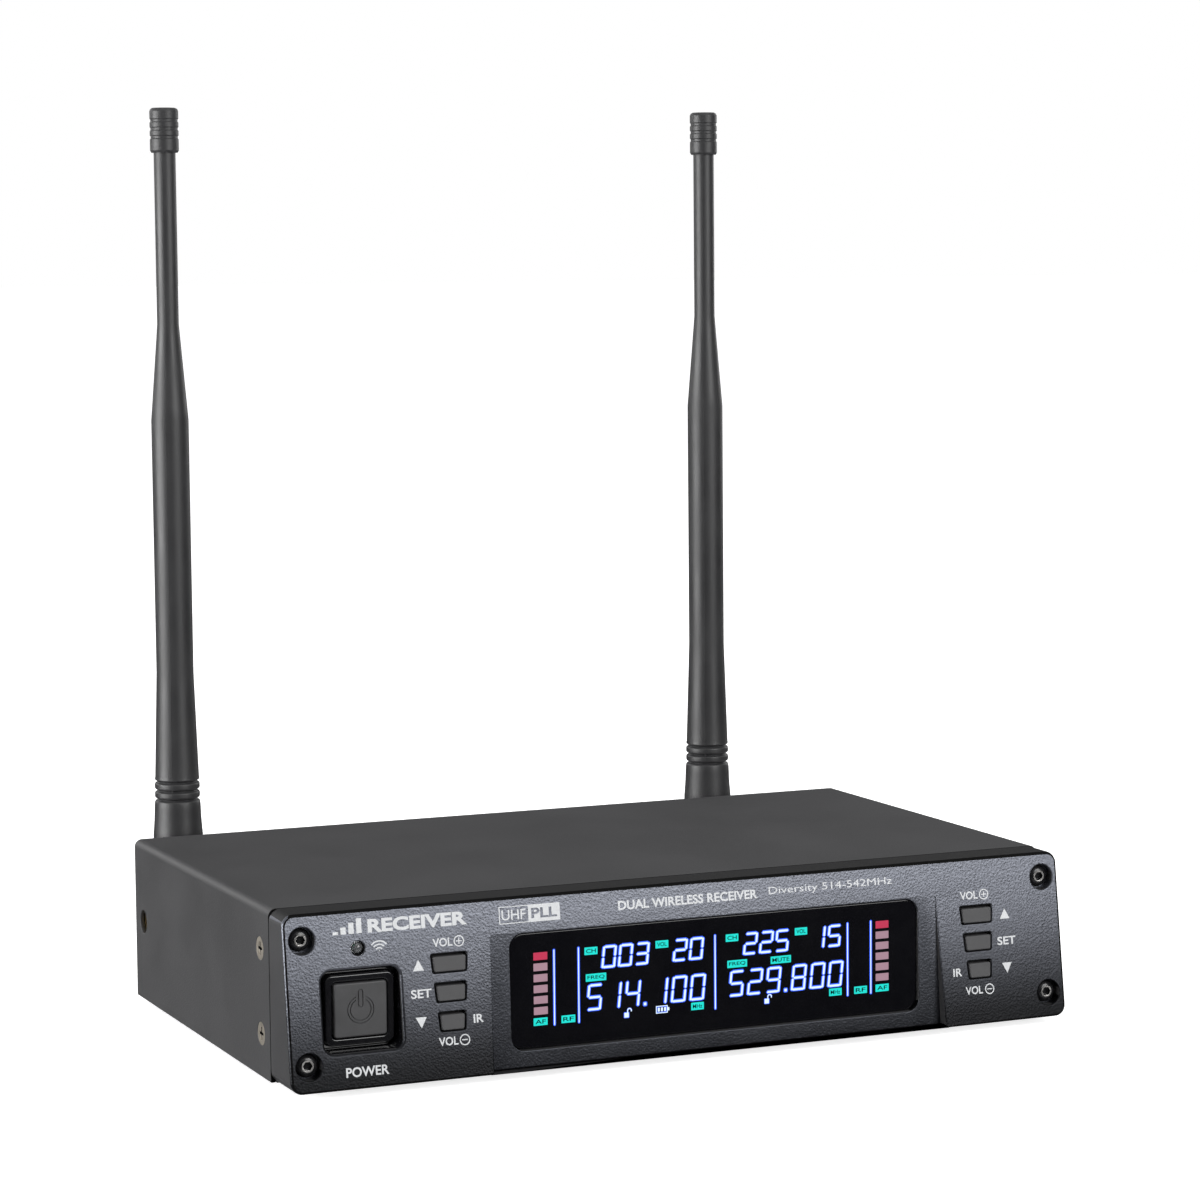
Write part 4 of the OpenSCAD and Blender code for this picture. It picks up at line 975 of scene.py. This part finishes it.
def battery(x, z, extra):
    wall = icons["batteryWall"] + extra
    left, right = x + icons["battery"][0], x + icons["battery"][1]
    low, high = z + icons["battery"][2], z + icons["battery"][3]
    tip, half = icons["batteryTip"]
    shapes = [bar(left, right, low, low + wall), bar(left, right, high - wall, high),
              bar(left, left + wall, low, high), bar(right - wall, right, low, high),
              bar(right, x + tip, z - half, z + half)]
    start, pitch, width, half = icons["charge"]
    for i in range(icons["chargeBars"]):
        cell = x + start + pitch * i
        shapes.append(rectangle(cell, cell + width, z - half, z + half))
    return shapes


def figureShapes(extra):
    shapes = []
    for signs, cells, foot, wide, tall in display["numbers"]:
        for sign, x in zip(signs, cells):
            shapes += figure(sign, x, foot, wide, tall, extra)
    half, tall = display["dot"]
    for x, z in display["dots"]:
        shapes.append(rectangle(x - half, x + half, z, z + tall, extra))
    half, low, high = display["post"]
    for x in display["posts"]:
        shapes.append(rectangle(x - half, x + half, low, high, extra * display["postHalo"]))
    for x, z in display["padlocks"]:
        shapes += padlock(x, z, extra * display["iconHalo"])
    shapes += battery(*display["battery"], extra * display["iconHalo"])
    return shapes


def standOnWindow(sheet, layer, finish):
    stand = Matrix.Rotation(math.pi / 2, 4, "X")
    lift = display["lifts"][layer] * mm
    sheet.data.transform(Matrix.Translation((0, windowLow.y - lift, bezelLow.z)) @ stand)
    mount(sheet, "receiver", finish)


def displayLayer(shapes, name, layer, finish):
    standOnWindow(solid(joinPieces(shapes, name), display["depth"]), layer, finish)


def displayFigures():
    displayLayer(figureShapes(display["halo"]), "display_figure_edges", "edges", "figure_blue")
    displayLayer(figureShapes(0), "display_figures", "figures", "figure_white")
    half = display["tagHalf"]
    shapes = [rectangle(x - wide / 2, x + wide / 2, z - half, z + half) for _, x, z, wide in display["tags"]]
    displayLayer(shapes, "display_tags", "tags", "tag_cyan")
    tall, margin, weight = display["tagWord"]
    words = [lettering(text, x - wide / 2 + margin, x + wide / 2 - margin, z, tall, weight)
             for text, x, z, wide in display["tags"]]
    standOnWindow(joinPieces(words, "display_tag_lettering"), "words", "window_lens")
    half, tall = display["meterBar"]
    for finish, rows in (("bar_red", slice(0, 1)), ("bar_pink", slice(1, 6))):
        bars = [rectangle(x - half, x + half, z - tall, z + tall)
                for x, heights in display["meters"] for z in heights[rows]]
        displayLayer(bars, "display_" + finish, "bars", finish)


displayFigures()
print("display lit")


studio = {
    "floor": 0.86,
    "floorSize": 60,
    "floorRough": 0.9,
    "fill": 0.75,  # how much the floor is lifted towards white
    # brightness of the surroundings by the height of the direction, from straight down to straight up
    "sky": ((-1.0, 0.7), (-0.5, 0.6), (-0.3, 0.04), (0.08, 0.04), (0.22, 0.14), (0.45, 0.20), (1.0, 1.0)),
    "blue": 1.03,  # of the surroundings, against their red and green
    "lights": (  # name, place, what it faces, size in metres and power in watts
        ("softTop", (-0.2, -0.9, 1.5), (0, 0, 0.03), (1.6, 1.0), 1.5),
        ("softLeft", (-1.7, 0.05, 0.26), (0, 0, 0.06), (1.3, 0.9), 46),
        ("softFront", (0.75, -1.75, 0.75), (0, 0, 0.08), (1.05, 1.3), 31),
        ("softBack", (-0.9, 1.7, 0.7), (0, 0, 0.1), (1.2, 0.9), 7),
        ("softSide", (1.7, 0.9, 0.5), (0, 0, 0.08), (1.0, 0.9), 7),
    ),
}


def areaLight(name, place, target, size, power):
    data = bpy.data.lights.new(name, "AREA")
    data.shape = "RECTANGLE"
    data.size, data.size_y = size
    data.energy = power
    lamp = bpy.data.objects.new(name, data)
    bpy.context.scene.collection.objects.link(lamp)
    lamp.location = place
    lamp.rotation_euler = (Vector(target) - Vector(place)).to_track_quat("-Z", "Y").to_euler()


def addFloor():
    bpy.ops.object.select_all(action="DESELECT")
    bpy.ops.mesh.primitive_plane_add(size=studio["floorSize"], location=(0, 0, 0))
    floor = bpy.context.active_object
    floor.name = "studio_floor"
    floor.visible_glossy = False
    material = bpy.data.materials.new("studioFloor")
    material.use_nodes = True
    tree = material.node_tree
    shader = tree.nodes["Principled BSDF"]
    shader.inputs["Base Color"].default_value = (*[studio["floor"]] * 3, 1)
    shader.inputs["Roughness"].default_value = studio["floorRough"]
    shader.inputs["Specular IOR Level"].default_value = 0.0
    shader.inputs["Emission Color"].default_value = (1, 1, 1, 1)
    path = tree.nodes.new("ShaderNodeLightPath")  # seen straight on, the paper fades to white
    level = tree.nodes.new("ShaderNodeMath")
    level.operation = "MULTIPLY"
    level.inputs[1].default_value = studio["fill"]
    tree.links.new(path.outputs["Is Camera Ray"], level.inputs[0])
    tree.links.new(level.outputs[0], shader.inputs["Emission Strength"])
    floor.data.materials.append(material)


def skyRamp(tree):
    way = tree.nodes.new("ShaderNodeTexCoord")
    split = tree.nodes.new("ShaderNodeSeparateXYZ")
    tree.links.new(way.outputs["Generated"], split.inputs["Vector"])
    height = tree.nodes.new("ShaderNodeMapRange")
    height.inputs["From Min"].default_value = -1
    tree.links.new(split.outputs["Z"], height.inputs["Value"])
    ramp = tree.nodes.new("ShaderNodeValToRGB")
    tree.links.new(height.outputs["Result"], ramp.inputs["Fac"])
    stops = ramp.color_ramp.elements
    stops[0].position, stops[1].position = 0.0, 1.0
    for position, _ in studio["sky"][1:-1]:
        stops.new((position + 1) / 2)
    for stop, (_, light) in zip(stops, studio["sky"]):
        stop.color = (light, light, min(light * studio["blue"], 1), 1)
    return ramp.outputs["Color"]


def addSky():
    world = bpy.data.worlds.new("studioSky")
    bpy.context.scene.world = world
    world.use_nodes = True
    tree = world.node_tree
    sky = tree.nodes["Background"]
    tree.links.new(skyRamp(tree), sky.inputs["Color"])
    paper = tree.nodes.new("ShaderNodeBackground")  # what shows behind the object
    paper.inputs["Color"].default_value = (1, 1, 1, 1)
    path = tree.nodes.new("ShaderNodeLightPath")
    mix = tree.nodes.new("ShaderNodeMixShader")
    tree.links.new(path.outputs["Is Camera Ray"], mix.inputs["Fac"])
    tree.links.new(sky.outputs["Background"], mix.inputs[1])
    tree.links.new(paper.outputs["Background"], mix.inputs[2])
    tree.links.new(mix.outputs["Shader"], tree.nodes["World Output"].inputs["Surface"])


addFloor()
addSky()
for studioLight in studio["lights"]:
    areaLight(*studioLight)
bpy.context.scene.view_settings.view_transform = "Standard"
print("studio set")
